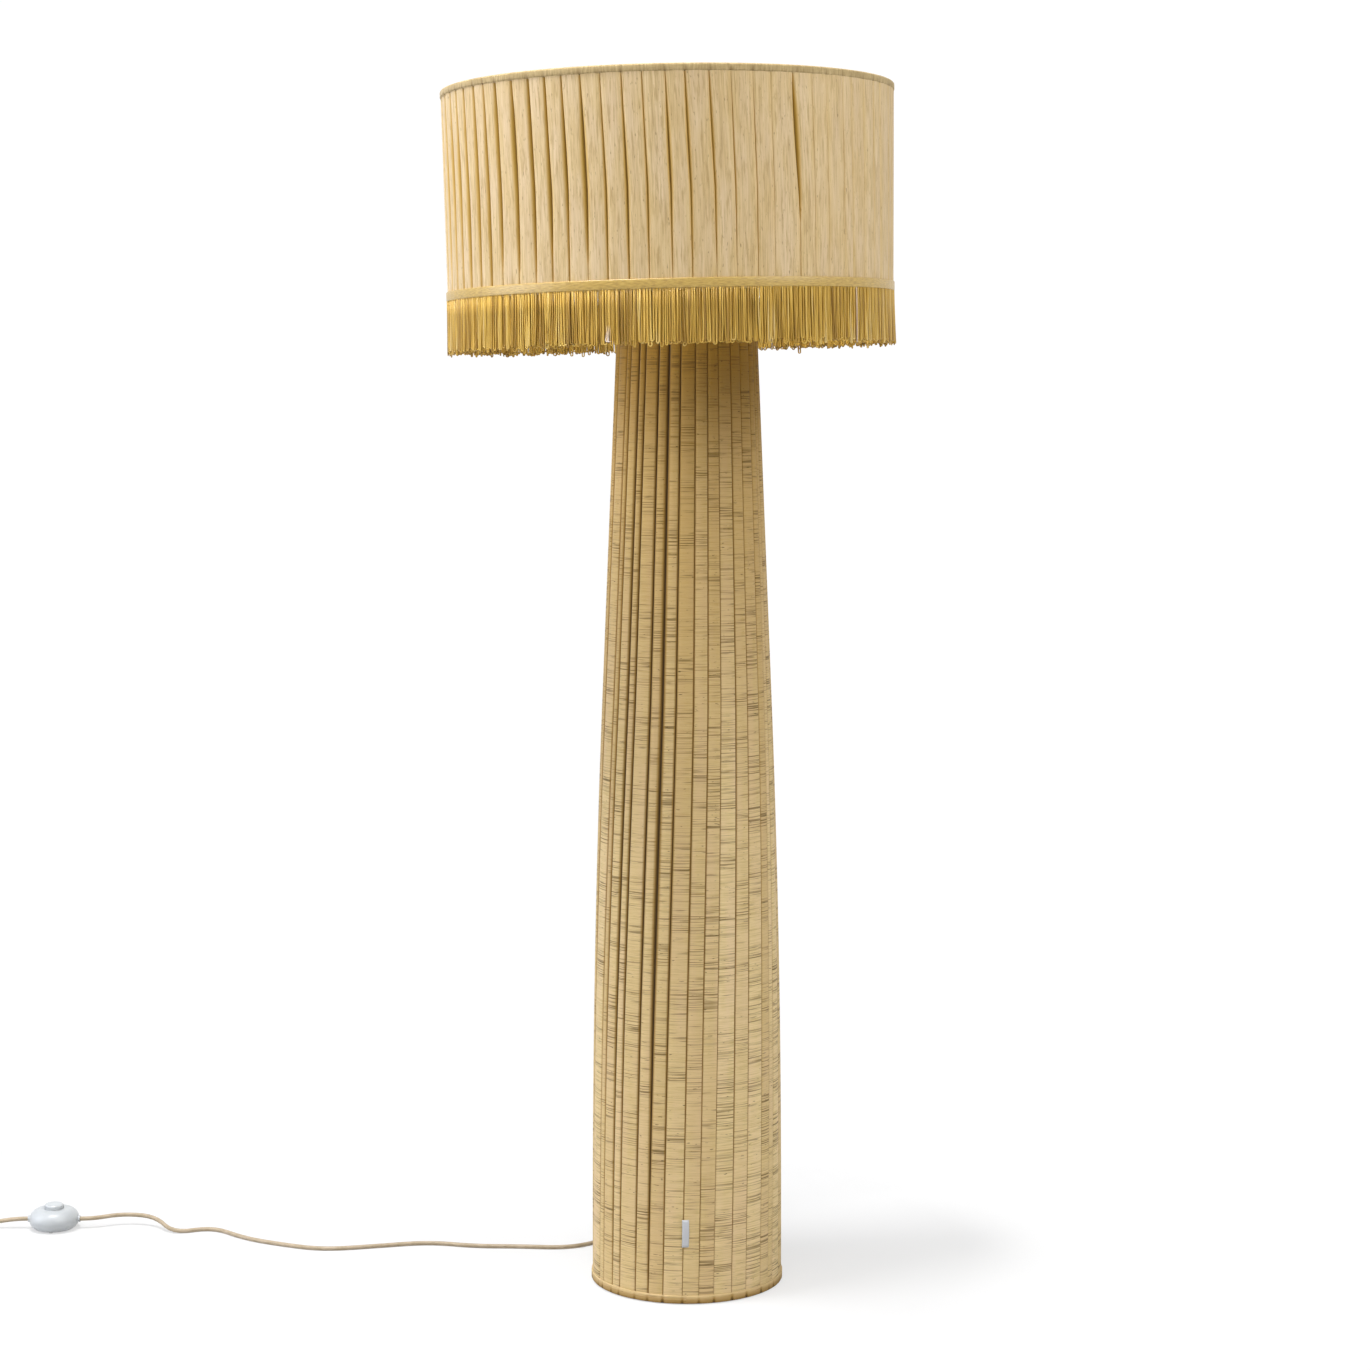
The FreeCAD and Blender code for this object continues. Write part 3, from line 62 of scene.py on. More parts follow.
# ---------------------------------------------------------------- camera, light and floor


def add_camera():
    """75 mm lens on a 36 mm sensor, 1.076 m up and 3.456 m in front, pitched down 5.61 degrees."""
    lens = bpy.data.cameras.new("camera")
    lens.lens = 75.0
    lens.sensor_width = 36.0
    lens.clip_end = 100.0
    camera = bpy.data.objects.new("camera", lens)
    camera.location = (-0.0024, -3.456, 1.076)
    camera.rotation_euler = (math.radians(90 - 5.61), 0, 0)
    bpy.context.collection.objects.link(camera)
    bpy.context.scene.camera = camera


def add_lamp(name, place, target, size, power, colour=(1, 1, 1)):
    """A square soft box at a place, turned towards a target."""
    light = bpy.data.lights.new(name, "AREA")
    light.shape = "SQUARE"
    light.size = size
    light.energy = power
    light.color = colour
    lamp = bpy.data.objects.new(name, light)
    lamp.location = place
    way = np.array(target, float) - np.array(place, float)
    flat = math.hypot(way[0], way[1])
    lamp.rotation_euler = (math.atan2(flat, -way[2]), 0, math.atan2(-way[0], way[1]))
    bpy.context.collection.objects.link(lamp)


# ---------------------------------------------------------------- materials


def linear(code):
    """An sRGB hex colour such as "#CDC0B0" as linear red, green, blue and alpha."""
    values = [int(code[i:i + 2], 16) / 255 for i in (1, 3, 5)]
    levels = [v / 12.92 if v <= 0.04045 else ((v + 0.055) / 1.055) ** 2.4 for v in values]
    return (*levels, 1.0)


def node(tree, kind, inputs=None, stops=(), **settings):
    """Adds a node with its settings, its inputs, each linked or set, and a colour ramp's stops, each
    a place and a colour. A colour is a hex code, or in a stop a grey value too."""
    made = tree.nodes.new(kind)
    for name, value in settings.items():
        setattr(made, name, value)
    for place, value in (inputs or {}).items():
        if isinstance(value, bpy.types.NodeSocket):
            tree.links.new(value, made.inputs[place])
        else:
            made.inputs[place].default_value = linear(value) if isinstance(value, str) else value
    while stops and len(made.color_ramp.elements) < len(stops):
        made.color_ramp.elements.new(0.5)
    for stop, (place, colour) in enumerate(stops):
        element = made.color_ramp.elements[stop]
        element.position = place
        element.color = linear(colour) if isinstance(colour, str) else (colour, colour, colour, 1)
    return made


def blank(name):
    """A new material with an empty node tree, and that tree."""
    material = bpy.data.materials.new(name)
    material.use_nodes = True
    material.node_tree.nodes.clear()
    return material, material.node_tree


def finished(tree, colour, relief, depth, **sockets):
    """The shader: a colour, a relief whose full height is depth millimetres, and plain numbers,
    which stay on the shader's own sockets."""
    raised = node(tree, "ShaderNodeBump", {
        "Height": relief, "Strength": 1.0, "Distance": depth * MM})
    inputs = {name.replace("_", " "): value for name, value in sockets.items()}
    shader = node(tree, "ShaderNodeBsdfPrincipled", {
        "Base Color": colour, "Normal": raised.outputs["Normal"], **inputs})
    node(tree, "ShaderNodeOutputMaterial", {"Surface": shader.outputs["BSDF"]})


def in_space(tree):
    """Object coordinates in millimetres."""
    place = node(tree, "ShaderNodeTexCoord").outputs["Object"]
    scaled = node(tree, "ShaderNodeVectorMath", {0: place, "Scale": 1 / MM}, operation="SCALE")
    return scaled.outputs[0]


def marks(tree, place, size, stops, detail=3.0, roughness=0.5, start=(0, 0, 0)):
    """Soft irregular marks about so many millimetres long each way, as the colours or shares of the
    stops from their faintest to their strongest."""
    scale = tuple(1 / length if length else 0 for length in size)
    spread = node(tree, "ShaderNodeMapping", {"Vector": place, "Location": start, "Scale": scale})
    cloud = node(tree, "ShaderNodeTexNoise", {
        "Vector": spread.outputs["Vector"], "Scale": 1.0, "Detail": detail, "Roughness": roughness})
    return node(tree, "ShaderNodeValToRGB", {"Fac": cloud.outputs["Fac"]}, stops).outputs["Color"]


def overlaid(tree, colour, *layers):
    """A colour with others laid over it, each by its share."""
    for share, over in layers:
        mixed = node(tree, "ShaderNodeMix", {0: share, 6: colour, 7: over}, data_type="RGBA")
        colour = mixed.outputs[2]
    return colour


RISING = ((0.0, 0.0), (1.0, 1.0))

# The cloth carries values of its own. "thread" holds millimetres across and along it, and a number
# for each pleat or yarn. "unshaded" carries painted shade: it is 0 deep in a channel and 1 on a
# pleat, and falls where a band is pinched and along its foot. "across" runs from 0 to 1 over a
# pleat's width.


def shade_cloth():
    """Slub viscose cloth, ironed in pleats: matt, cream, with upright slubs and a few dark knots.
    Painted shade turns it ochre inside a channel, and it is drawn a little yellower beside one than
    on a pleat's middle."""
    material, tree = blank("woven_slub_cloth_cream")
    cloth = node(tree, "ShaderNodeAttribute", attribute_name="thread").outputs["Vector"]
    unshaded = node(tree, "ShaderNodeAttribute", attribute_name="unshaded").outputs["Fac"]
    across = node(tree, "ShaderNodeAttribute", attribute_name="across").outputs["Fac"]
    colour = overlaid(
        # Slubs are drawn 1.6 mm wide, twice as wide as the real ones, so that they show
        tree, marks(tree, cloth, (1.6, 60, 1), [
            (0.26, "#A58A5A"), (0.42, "#C3A877"), (0.54, "#D2B888"), (0.70, "#DCC69C")], 4.0, 0.7),
        # Wide clouds of a deeper tone, paler streaks up a pleat, then the darkest slubs
        (marks(tree, cloth, (500, 500, 1), [(0.35, 0.0), (0.65, 0.25)], 1.0, 0.5, (5, 5, 0)),
         "#BE9F68"),
        (marks(tree, cloth, (15, 80, 1), [(0.38, 0.0), (0.66, 0.4)], 2.0, 0.5, (3, 7, 0)),
         "#D9C2A3"),
        (marks(tree, cloth, (2.4, 30, 1), [(0.53, 0.0), (0.65, 0.6)], 3.0, 0.6, (60, 3, 9)),
         "#A88A55"),
        (node(tree, "ShaderNodeValToRGB", {"Fac": across}, [
            (0.0, 0.3), (0.3, 0.0), (0.72, 0.0), (1.0, 0.35)]).outputs["Color"], "#D6B673"),
        (marks(tree, cloth, (1.8, 8, 1), [(0.66, 0.0), (0.74, 0.6)], 2.0, 0.5, (40, 11, 5)),
         "#7D6236"),
        # Painted shade: the cloth turns ochre brown deep inside each channel
        (node(tree, "ShaderNodeValToRGB", {"Fac": unshaded}, [
            (0.0, 1.0), (0.5, 0.9), (0.8, 0.5), (0.99, 0.0)]).outputs["Color"],
         node(tree, "ShaderNodeValToRGB", {"Fac": unshaded}, [
             (0.0, "#6B4C0C"), (0.3, "#A37E1C"), (0.7, "#C49C42")]).outputs["Color"]))
    # The warp is drawn 0.8 mm apart, coarser than the real 0.4 mm, so that it shows
    weave = marks(tree, cloth, (0.8, 2, 1), RISING, 3.0, 0.6)
    finished(tree, colour, weave, 0.15, Roughness=0.82, Sheen_Weight=0.12, Sheen_Roughness=0.5)
    return material


def rolled_cloth():
    """The same cloth rolled over a wire ring: greyer where it is doubled, slubs across the roll, and
    brown painted shade in the small puckers over each pleat."""
    material, tree = blank("rolled_slub_cloth_cream")
    cloth = node(tree, "ShaderNodeAttribute", attribute_name="thread").outputs["Vector"]
    unshaded = node(tree, "ShaderNodeAttribute", attribute_name="unshaded").outputs["Fac"]
    colour = overlaid(
        tree, marks(tree, cloth, (2.5, 14, 1), [
            (0.28, "#917B4E"), (0.45, "#AC9565"), (0.6, "#BDA678"), (0.75, "#CCB78D")], 4.0, 0.65),
        (marks(tree, cloth, (30, 40, 1), [(0.45, 0.0), (0.65, 0.35)], 2.0), "#8E7647"),
        # Painted shade: brown in the puckers where the roll is pinched
        (node(tree, "ShaderNodeValToRGB", {"Fac": unshaded}, [(0.0, 1.0), (1.0, 0.0)]).outputs["Color"],
         "#6B4E20"))
    weave = marks(tree, cloth, (0.9, 2, 1), RISING, 3.0, 0.6)
    finished(tree, colour, weave, 0.2, Roughness=0.85, Sheen_Weight=0.1)
    return material


def column_cloth():
    """Slub viscose cloth laid sideways: matt, tan, with level olive brown slubs that stop at each
    pleat's edge, and a tone of its own for each pleat. Painted shade darkens it to brown inside the
    channels, in the puckers of its bands and along the hem's foot, and to a deeper olive brown up
    its top half where the shade's shadow falls."""
    material, tree = blank("woven_slub_cloth_tan")
    cloth = node(tree, "ShaderNodeAttribute", attribute_name="thread").outputs["Vector"]
    height = node(tree, "ShaderNodeSeparateXYZ", {"Vector": cloth}).outputs["Y"]
    unshaded = node(tree, "ShaderNodeAttribute", attribute_name="unshaded").outputs["Fac"]
    colour = overlaid(
        tree, marks(tree, cloth, (34, 1.2, 1), [
            (0.28, "#AC945B"), (0.44, "#CFB784"), (0.57, "#DDC695"), (0.72, "#C9AF79")], 4.0, 0.65),
        # Paler streaks up a pleat, and a tone of its own for each pleat
        (marks(tree, cloth, (17, 165, 1), [(0.42, 0.0), (0.66, 0.55)], 2.0, 0.5, (9, 2, 0)),
         "#DABE98"),
        (marks(tree, cloth, (500, 1700, 1), [(0.35, 0.0), (0.62, 0.5)], 1.0, 0.5, (5, 5, 0)),
         "#B39459"),
        # Painted shade: the cloth is drawn a deeper olive brown up its top half, and most of all
        # under the fringe, where the shade's shadow falls
        (node(tree, "ShaderNodeMapRange", {
            "Value": height, "From Min": 420.0, "From Max": 1150.0, "To Min": 0.0, "To Max": 0.7},
            interpolation_type="SMOOTHSTEP").outputs["Result"], "#A27F3A"),
        (node(tree, "ShaderNodeMapRange", {
            "Value": height, "From Min": 980.0, "From Max": 1170.0, "To Min": 0.0, "To Max": 0.88},
            interpolation_type="SMOOTHSTEP").outputs["Result"], "#8A6408"),
        # Fine slubs in clusters, then thicker ones, then short dark knots. The fine ones are drawn
        # 1.4 mm thick, coarser than the real 0.7 mm, so that they show
        (node(tree, "ShaderNodeMath", {
            0: marks(tree, cloth, (90, 1.4, 1), [(0.52, 0.0), (0.62, 0.75)], 1.0, 0.5, (21, 33, 4)),
            1: marks(tree, cloth, (160, 30, 1), [(0.45, 0.1), (0.6, 1.0)], 2.0, 0.5, (8, 4, 6))},
            operation="MULTIPLY").outputs[0], "#5A4216"),
        (marks(tree, cloth, (45, 3.2, 1), [(0.62, 0.0), (0.70, 0.5)], 2.0, 0.6, (3, 90, 2)),
         "#4E3A12"),
        (marks(tree, cloth, (8, 1.8, 1), [(0.69, 0.0), (0.74, 0.75)], 2.0, 0.5, (70, 15, 8)),
         "#3A2A0C"),
        # Painted shade: the cloth darkens to a deep brown inside each channel
        (node(tree, "ShaderNodeValToRGB", {"Fac": unshaded}, [
            (0.0, 1.0), (0.45, 0.95), (0.75, 0.6), (0.99, 0.0)]).outputs["Color"],
         node(tree, "ShaderNodeValToRGB", {"Fac": unshaded}, [
             (0.0, "#33230A"), (0.3, "#614614"), (0.7, "#936F2C")]).outputs["Color"]))
    # The weft is drawn 1.2 mm apart, coarser than the real thread, so that it shows
    weave = marks(tree, cloth, (4, 1.2, 1), RISING, 3.0, 0.6)
    finished(tree, colour, weave, 0.21, Roughness=0.85, Specular_IOR_Level=0.3, Sheen_Weight=0.05)
    return material


def braid_satin():
    """Satin braid, woven flat: gold with a low gloss, level threads and small knots."""
    material, tree = blank("woven_satin_braid_gold")
    cloth = node(tree, "ShaderNodeAttribute", attribute_name="thread").outputs["Vector"]
    colour = marks(tree, cloth, (8, 1.1, 1), [
        (0.32, "#9C7B30"), (0.5, "#B7953F"), (0.68, "#C8A954")], 3.0, 0.6)
    threads = marks(tree, cloth, (2, 0.5, 1), RISING)
    finished(tree, colour, threads, 0.18, Roughness=0.33, Specular_IOR_Level=0.9)
    return material


def fringe_yarn():
    """Twisted rayon yarn: ochre gold with a silky gloss that shows its ply. A few loose ends are
    undyed, a pinkish white."""
    material, tree = blank("twisted_rayon_yarn_gold")
    cloth = node(tree, "ShaderNodeAttribute", attribute_name="thread").outputs["Vector"]
    undyed = node(tree, "ShaderNodeAttribute", attribute_name="undyed").outputs["Fac"]
    colour = overlaid(
        tree, marks(tree, cloth, (0, 150, 1), [
            (0.36, "#98721E"), (0.45, "#B28A2A"), (0.53, "#C9A03A"), (0.61, "#DAB552"),
            (0.72, "#E1C580")], 2.0, 0.6),
        (undyed, "#E3D2C8"))
    # A wave texture turns once in a tenth of a full turn
    ply = node(tree, "ShaderNodeTexWave", {
        "Vector": cloth, "Scale": TURN / 10 / PLY, "Distortion": 1.0, "Detail": 1.0},
        bands_direction="DIAGONAL").outputs["Fac"]
    finished(tree, colour, ply, 0.14, Roughness=0.5)
    return material


def moulded(name, light, dark, roughness):
    """A moulded plastic: an even colour and gloss over a fine die grain. The grain is drawn 1 mm
    wide, coarser than the real 0.2 mm, so that it shows."""
    material, tree = blank(name)
    place = in_space(tree)
    colour = marks(tree, place, (22, 22, 22), [(0.35, dark), (0.65, light)])
    finished(tree, colour, marks(tree, place, (1, 1, 1), RISING), 0.02, Roughness=roughness)
    return material


def metal(name, light, dark, roughness):
    """A plated or drawn metal: its own colour, and a gloss broken by marks 2 mm long."""
    material, tree = blank(name)
    place = in_space(tree)
    colour = marks(tree, place, (2.5, 2.5, 2.5), [(0.35, dark), (0.65, light)])
    finished(tree, colour, marks(tree, place, (2, 2, 2), RISING), 0.01,
             Metallic=1.0, Roughness=roughness)
    return material


def painted(name, light, dark, roughness):
    """Stove enamel on steel or iron: an even colour, slightly wavy, with a soft gloss."""
    material, tree = blank(name)
    place = in_space(tree)
    colour = marks(tree, place, (17, 17, 17), [(0.3, dark), (0.7, light)])
    finished(tree, colour, marks(tree, place, (3.3, 3.3, 3.3), RISING), 0.03,
             Roughness=roughness, Coat_Weight=0.2)
    return material


def felt():
    """Needled wool felt: matt dark grey with matted fibres about 1 mm long."""
    material, tree = blank("needled_felt_grey")
    place = in_space(tree)
    colour = marks(tree, place, (1.4, 1.4, 1.4), [(0.35, "#2E2D2C"), (0.7, "#565452")], 5.0)
    finished(tree, colour, marks(tree, place, (0.7, 0.7, 0.7), RISING), 0.3,
             Roughness=0.95, Sheen_Weight=0.3)
    return material


def backing():
    """Styrene film laminated behind the cloth: smooth, half matt, warm cream, faintly cloudy."""
    material, tree = blank("laminated_styrene_cream")
    place = in_space(tree)
    colour = marks(tree, place, (40, 40, 40), [(0.3, "#DCCBA4"), (0.7, "#E8DAB8")])
    finished(tree, colour, marks(tree, place, (2.5, 2.5, 2.5), RISING), 0.03, Roughness=0.55)
    return material


def opal_glass():
    """Flashed opal glass: white and milky under a smooth clear coat."""
    material, tree = blank("flashed_opal_glass_white")
    place = in_space(tree)
    colour = marks(tree, place, (50, 50, 50), [(0.3, "#EFEEE9"), (0.7, "#F6F5F1")])
    finished(tree, colour, marks(tree, place, (30, 30, 30), RISING), 0.02, Roughness=0.28,
             Coat_Weight=0.4, Coat_Roughness=0.08, Subsurface_Weight=0.2, Subsurface_Scale=0.01)
    return material


def cord_sheath():
    """Extruded PVC sheath: beige, half matt, faintly uneven."""
    material, tree = blank("extruded_pvc_beige")
    place = in_space(tree)
    colour = marks(tree, place, (11, 11, 11), [(0.3, "#9F8E72"), (0.7, "#B3A28A")])
    finished(tree, colour, marks(tree, place, (1.4, 1.4, 1.4), RISING), 0.02, Roughness=0.45)
    return material


def ribbon():
    """Woven satin ribbon: blank, grey white, with fine cross ribs. They are drawn 1 mm apart,
    coarser than the real 0.4 mm, so that they show."""
    material, tree = blank("woven_satin_ribbon_grey_white")
    # A wave texture turns once in a tenth of a full turn
    rib = node(tree, "ShaderNodeTexWave", {
        "Vector": in_space(tree), "Scale": TURN / 10, "Distortion": 0.6},
        bands_direction="Z").outputs["Fac"]
    colour = node(tree, "ShaderNodeValToRGB", {"Fac": rib}, [(0.2, "#ACAEB2"), (0.8, "#C6C8CB")])
    finished(tree, colour.outputs["Color"], rib, 0.1, Roughness=0.6, Sheen_Weight=0.2)
    return material


def floor_paper():
    """Seamless white paper: matt, it keeps the lamp's shadow, and further off the camera sees only
    white. The lamp gets the light of a grey paper from it; the camera sees half of that grey with a
    lift added, so that the paper is white and its shadow half as deep."""
    material, tree = blank("seamless_paper_white")
    grey, lift = 0.6, 0.595
    shown = node(tree, "ShaderNodeMath", {
        0: grey, 1: unlit_share(tree, grey / 2)}, operation="SUBTRACT")
    paper = node(tree, "ShaderNodeBsdfDiffuse", {"Color": shown.outputs[0]})
    glow = node(tree, "ShaderNodeEmission", {"Color": (1, 1, 1, 1), "Strength": SEEN_WHITE})
    added = node(tree, "ShaderNodeEmission", {
        "Color": (1, 1, 1, 1), "Strength": unlit_share(tree, lift)})
    lit = node(tree, "ShaderNodeAddShader", {0: paper.outputs[0], 1: added.outputs[0]})
    # The shadow fades out round an ellipse 1.5 m by 1 m, over a fifth of its reach. Its middle is
    # 0.4 m left of the lamp and 0.12 m behind it
    place = node(tree, "ShaderNodeMapping", {
        "Vector": node(tree, "ShaderNodeTexCoord").outputs["Object"],
        "Location": (0.533, -0.237, 0), "Scale": (1.333, 1.972, 1)}).outputs["Vector"]
    away = node(tree, "ShaderNodeVectorMath", {0: place}, operation="LENGTH").outputs["Value"]
    share = node(tree, "ShaderNodeMapRange", {
        "Value": away, "From Min": 1.0, "From Max": 1.2, "To Min": 0.0, "To Max": 1.0},
        interpolation_type="SMOOTHSTEP").outputs["Result"]
    both = node(tree, "ShaderNodeMixShader", {
        0: unlit_share(tree, share), 1: lit.outputs[0], 2: glow.outputs[0]})
    node(tree, "ShaderNodeOutputMaterial", {"Surface": both.outputs[0]})
    return material


def unlit_share(tree, share):
    """A share for camera, glossy and transmission rays, and nothing for the rest."""
    path = node(tree, "ShaderNodeLightPath").outputs
    seen = node(tree, "ShaderNodeMath", {
        0: path["Is Camera Ray"], 1: path["Is Glossy Ray"]}, operation="MAXIMUM").outputs[0]
    seen = node(tree, "ShaderNodeMath", {
        0: seen, 1: path["Is Transmission Ray"]}, operation="MAXIMUM").outputs[0]
    return node(tree, "ShaderNodeMath", {0: seen, 1: share}, operation="MULTIPLY").outputs[0]


def white_world():
    """Even light from all round; the camera and reflections see it white."""
    world = bpy.data.worlds.new("studio")
    world.use_nodes = True
    tree = world.node_tree
    tree.nodes.clear()
    level = node(tree, "ShaderNodeMath", {
        0: unlit_share(tree, SEEN_WHITE - WORLD_LEVEL), 1: WORLD_LEVEL}, operation="ADD")
    light = node(tree, "ShaderNodeBackground", {"Color": (1, 1, 1, 1), "Strength": level.outputs[0]})
    node(tree, "ShaderNodeOutputWorld", {"Surface": light.outputs[0]})
    bpy.context.scene.world = world


# ---------------------------------------------------------------- surfaces


def surface(name, points, material, closed_round=True, closed_up=False, values=None):
    """A piece from a grid of points, rows going up and columns going round towards +X at the front.
    values gives vertex attributes by name: one number, or three, for each point."""
    rows, columns = points.shape[:2]
    index = np.arange(rows * columns).reshape(rows, columns)
    if closed_round:
        index = np.concatenate([index, index[:, :1]], axis=1)
    if closed_up:
        index = np.concatenate([index, index[:1]], axis=0)
    faces = np.stack([index[:-1, :-1], index[:-1, 1:], index[1:, 1:], index[1:, :-1]], axis=-1)
    return from_arrays(name, points.reshape(-1, 3), faces.reshape(-1, 4), material, values)


def from_arrays(name, points, faces, material, values=None):
    """A piece from arrays of points and of four-sided faces, shaded smooth."""
    mesh = bpy.data.meshes.new(name)
    mesh.vertices.add(len(points))
    mesh.vertices.foreach_set("co", np.ascontiguousarray(points, np.float32).ravel())
    mesh.loops.add(faces.size)
    mesh.loops.foreach_set("vertex_index", np.ascontiguousarray(faces, np.int32).ravel())
    mesh.polygons.add(len(faces))
    mesh.polygons.foreach_set("loop_start", np.arange(0, faces.size, 4, dtype=np.int32))
    mesh.polygons.foreach_set("use_smooth", np.ones(len(faces), bool))
    mesh.update(calc_edges=True)
    mesh.validate()
    for key, data in (values or {}).items():
        kind, field = ("FLOAT_VECTOR", "vector") if data.shape[-1] == 3 else ("FLOAT", "value")
        layer = mesh.attributes.new(key, kind, "POINT")
        layer.data.foreach_set(field, np.ascontiguousarray(data, np.float32).ravel())
    piece = bpy.data.objects.new(name, mesh)
    bpy.context.collection.objects.link(piece)
    mesh.materials.append(material)
    return piece


def round_axis(angle, radius, height, leaning):
    """Points at an angle from the front towards +X, a radius and a height; on the leaning axis the
    height is counted along it from the floor, and the point turns by the lean about the pivot."""
    angle, radius, height = np.broadcast_arrays(angle, radius, height)
    x = radius * np.sin(angle)
    y = -radius * np.cos(angle)
    z = height
    if leaning:
        up = height - PIVOT
        x, z = (x * math.cos(LEAN) - up * math.sin(LEAN),
                PIVOT + up * math.cos(LEAN) + x * math.sin(LEAN))
    return np.stack([x, y, z], axis=-1)


def channel_opening(count, first_number, given, rows_up, seed, even):
    """How far each gap stands open at each height: its own size times a bump, a power of a sine,
    between its own low and high ends, and nearly shut outside them, with a slow drift. given holds
    gaps by number, wrapping round below the first, each a size, a low end and a high end; the rest
    get theirs at random round an even size."""
    rng = np.random.default_rng(seed)
    size = even * rng.uniform(0.75, 1.3, count)
    low = rng.uniform(-0.12, 0.02, count)
    high = rng.uniform(1.0, 1.1, count)
    for number, (own_size, own_low, own_high) in given.items():
        place = (number - first_number) % count
        size[place], low[place], high[place] = own_size, own_low, own_high
    along = np.clip((rows_up[:, None] - low) / (high - low), 0, 1)
    waves = rows_up[:, None] * rng.uniform(4, 11, count) + rng.uniform(0, 6, count)
    drift = 1 + 0.15 * np.sin(waves)
    return size * (0.16 + 0.84 * np.sin(math.pi * along) ** 0.7) * drift


def thicken(piece, thickness):
    """Gives a cloth sheet its thickness, inwards."""
    solid = piece.modifiers.new("thickness", "SOLIDIFY")
    solid.thickness = thickness
    solid.offset = -1


def pleat_gaps(count, first, shifts):
    """The angle of each gap: even steps from the first, each moved by its share of a step."""
    numbers = np.arange(min(shifts), min(shifts) + count)
    wander = 0.18 * np.sin(2.3 * numbers) + 0.12 * np.sin(5.1 * numbers)
    moved = np.array([shifts.get(int(n), w) for n, w in zip(numbers, wander)])
    return np.radians(first + 360 * (numbers + moved) / count)


# Places across a channel's half width, from its middle to its edge, and over a pleat's own width
INTO = np.array([0, 0.12, 0.3, 0.52, 0.76, 1.0])
OVER = np.array([0.2, 0.5, 0.8])
# Steps in "thread" from one pleat or yarn to the next, wide enough that their patterns don't match
PLEAT_STEP = 7.31
YARN_STEP = 3.77


def pleated(name, gaps, opening, heights, reach, depth, half_gap, curve, bulge, material, leaning):
    """Pleats with a rounded channel at each gap. At a share t of a channel's half width from its
    middle the cloth lies 1 - (1 - t)**curve of the way up from the channel's foot to the folds'
    reach, and a pleat bulges by a parabola between its two channels. gaps gives each gap's angle at
    each height. opening, one value for each height and gap, scales a channel's width and, by its
    square root and up to 1.25, its depth. reach is one value for each height, and half_gap is a
    share of an even step. "unshaded" carries painted shade: it stays low over more of a channel
    that stands open, and never falls far in one that is nearly shut."""
    rows, count = gaps.shape
    widths = np.roll(gaps, -1, axis=1) - gaps
    widths[:, -1] += TURN
    shallow = opening[..., None]
    shallow_after = np.roll(opening, -1, axis=1)[..., None]
    share = half_gap * TURN / count / widths[..., None]
    left = share * shallow * INTO
    right = share * shallow_after * INTO[:0:-1]
    middle = left[..., -1:] + (1 - left[..., -1:] - right[..., :1]) * OVER
    u = np.concatenate([left, middle, 1 - right], axis=2)
    rise = 1 - (1 - np.concatenate([INTO, np.ones(len(OVER)), INTO[:0:-1]])) ** curve
    crown = np.concatenate([0 * INTO, 4 * OVER * (1 - OVER), 0 * INTO[1:]]) * bulge
    mix = np.clip(u, 0, 1)
    open_here = shallow * (1 - mix) + shallow_after * mix
    angle = gaps[..., None] + widths[..., None] * u
    deep = depth * np.sqrt(np.minimum(open_here, 1.25))
    radius = reach[:, None, None] - deep * (1 - rise) + crown
    points = round_axis(angle.reshape(rows, -1), radius.reshape(rows, -1), heights[:, None], leaning)
    number = np.broadcast_to(np.arange(count)[None, :, None], u.shape)
    thread = np.stack([
        (u * widths[..., None] * float(reach.mean()) / MM).reshape(rows, -1),
        np.broadcast_to(heights[:, None] / MM, (rows, u.shape[1] * u.shape[2])),
        (number * PLEAT_STEP).reshape(rows, -1)], axis=-1)
    # Painted shade: low deep in a channel, over more of it where the channel stands open
    unshaded = 1 - (1 - rise) ** (1 / np.maximum(open_here, 1)) * np.clip(0.25 + 0.75 * open_here, 0, 1)
    return surface(name, points, material, values={
        "thread": thread, "unshaded": unshaded.reshape(rows, -1), "across": mix.reshape(rows, -1)})


# ---------------------------------------------------------------- cloth of the shade


# Gap places as in the solids: shares of a step by which each leaves its even place
SHADE_PLEATS = 70
SHADE_FIRST = -16
SHADE_GAPS = pleat_gaps(SHADE_PLEATS, 0.78, {
    -16: 0.44, -15: 0.52, -14: 0.56, -13: 0.44, -12: 0.33, -11: 0.31, -10: 0.17, -9: 0.05, -8: 0.17,
    -7: 0.19, -6: 0.13, -5: 0.03, -4: -0.01, -3: -0.04, -2: -0.03, -1: -0.08, 0: 0.0, 1: -0.07,
    2: 0.07, 3: 0.04, 4: 0.10, 5: -0.02, 6: 0.39, 7: 0.28, 8: 0.15})
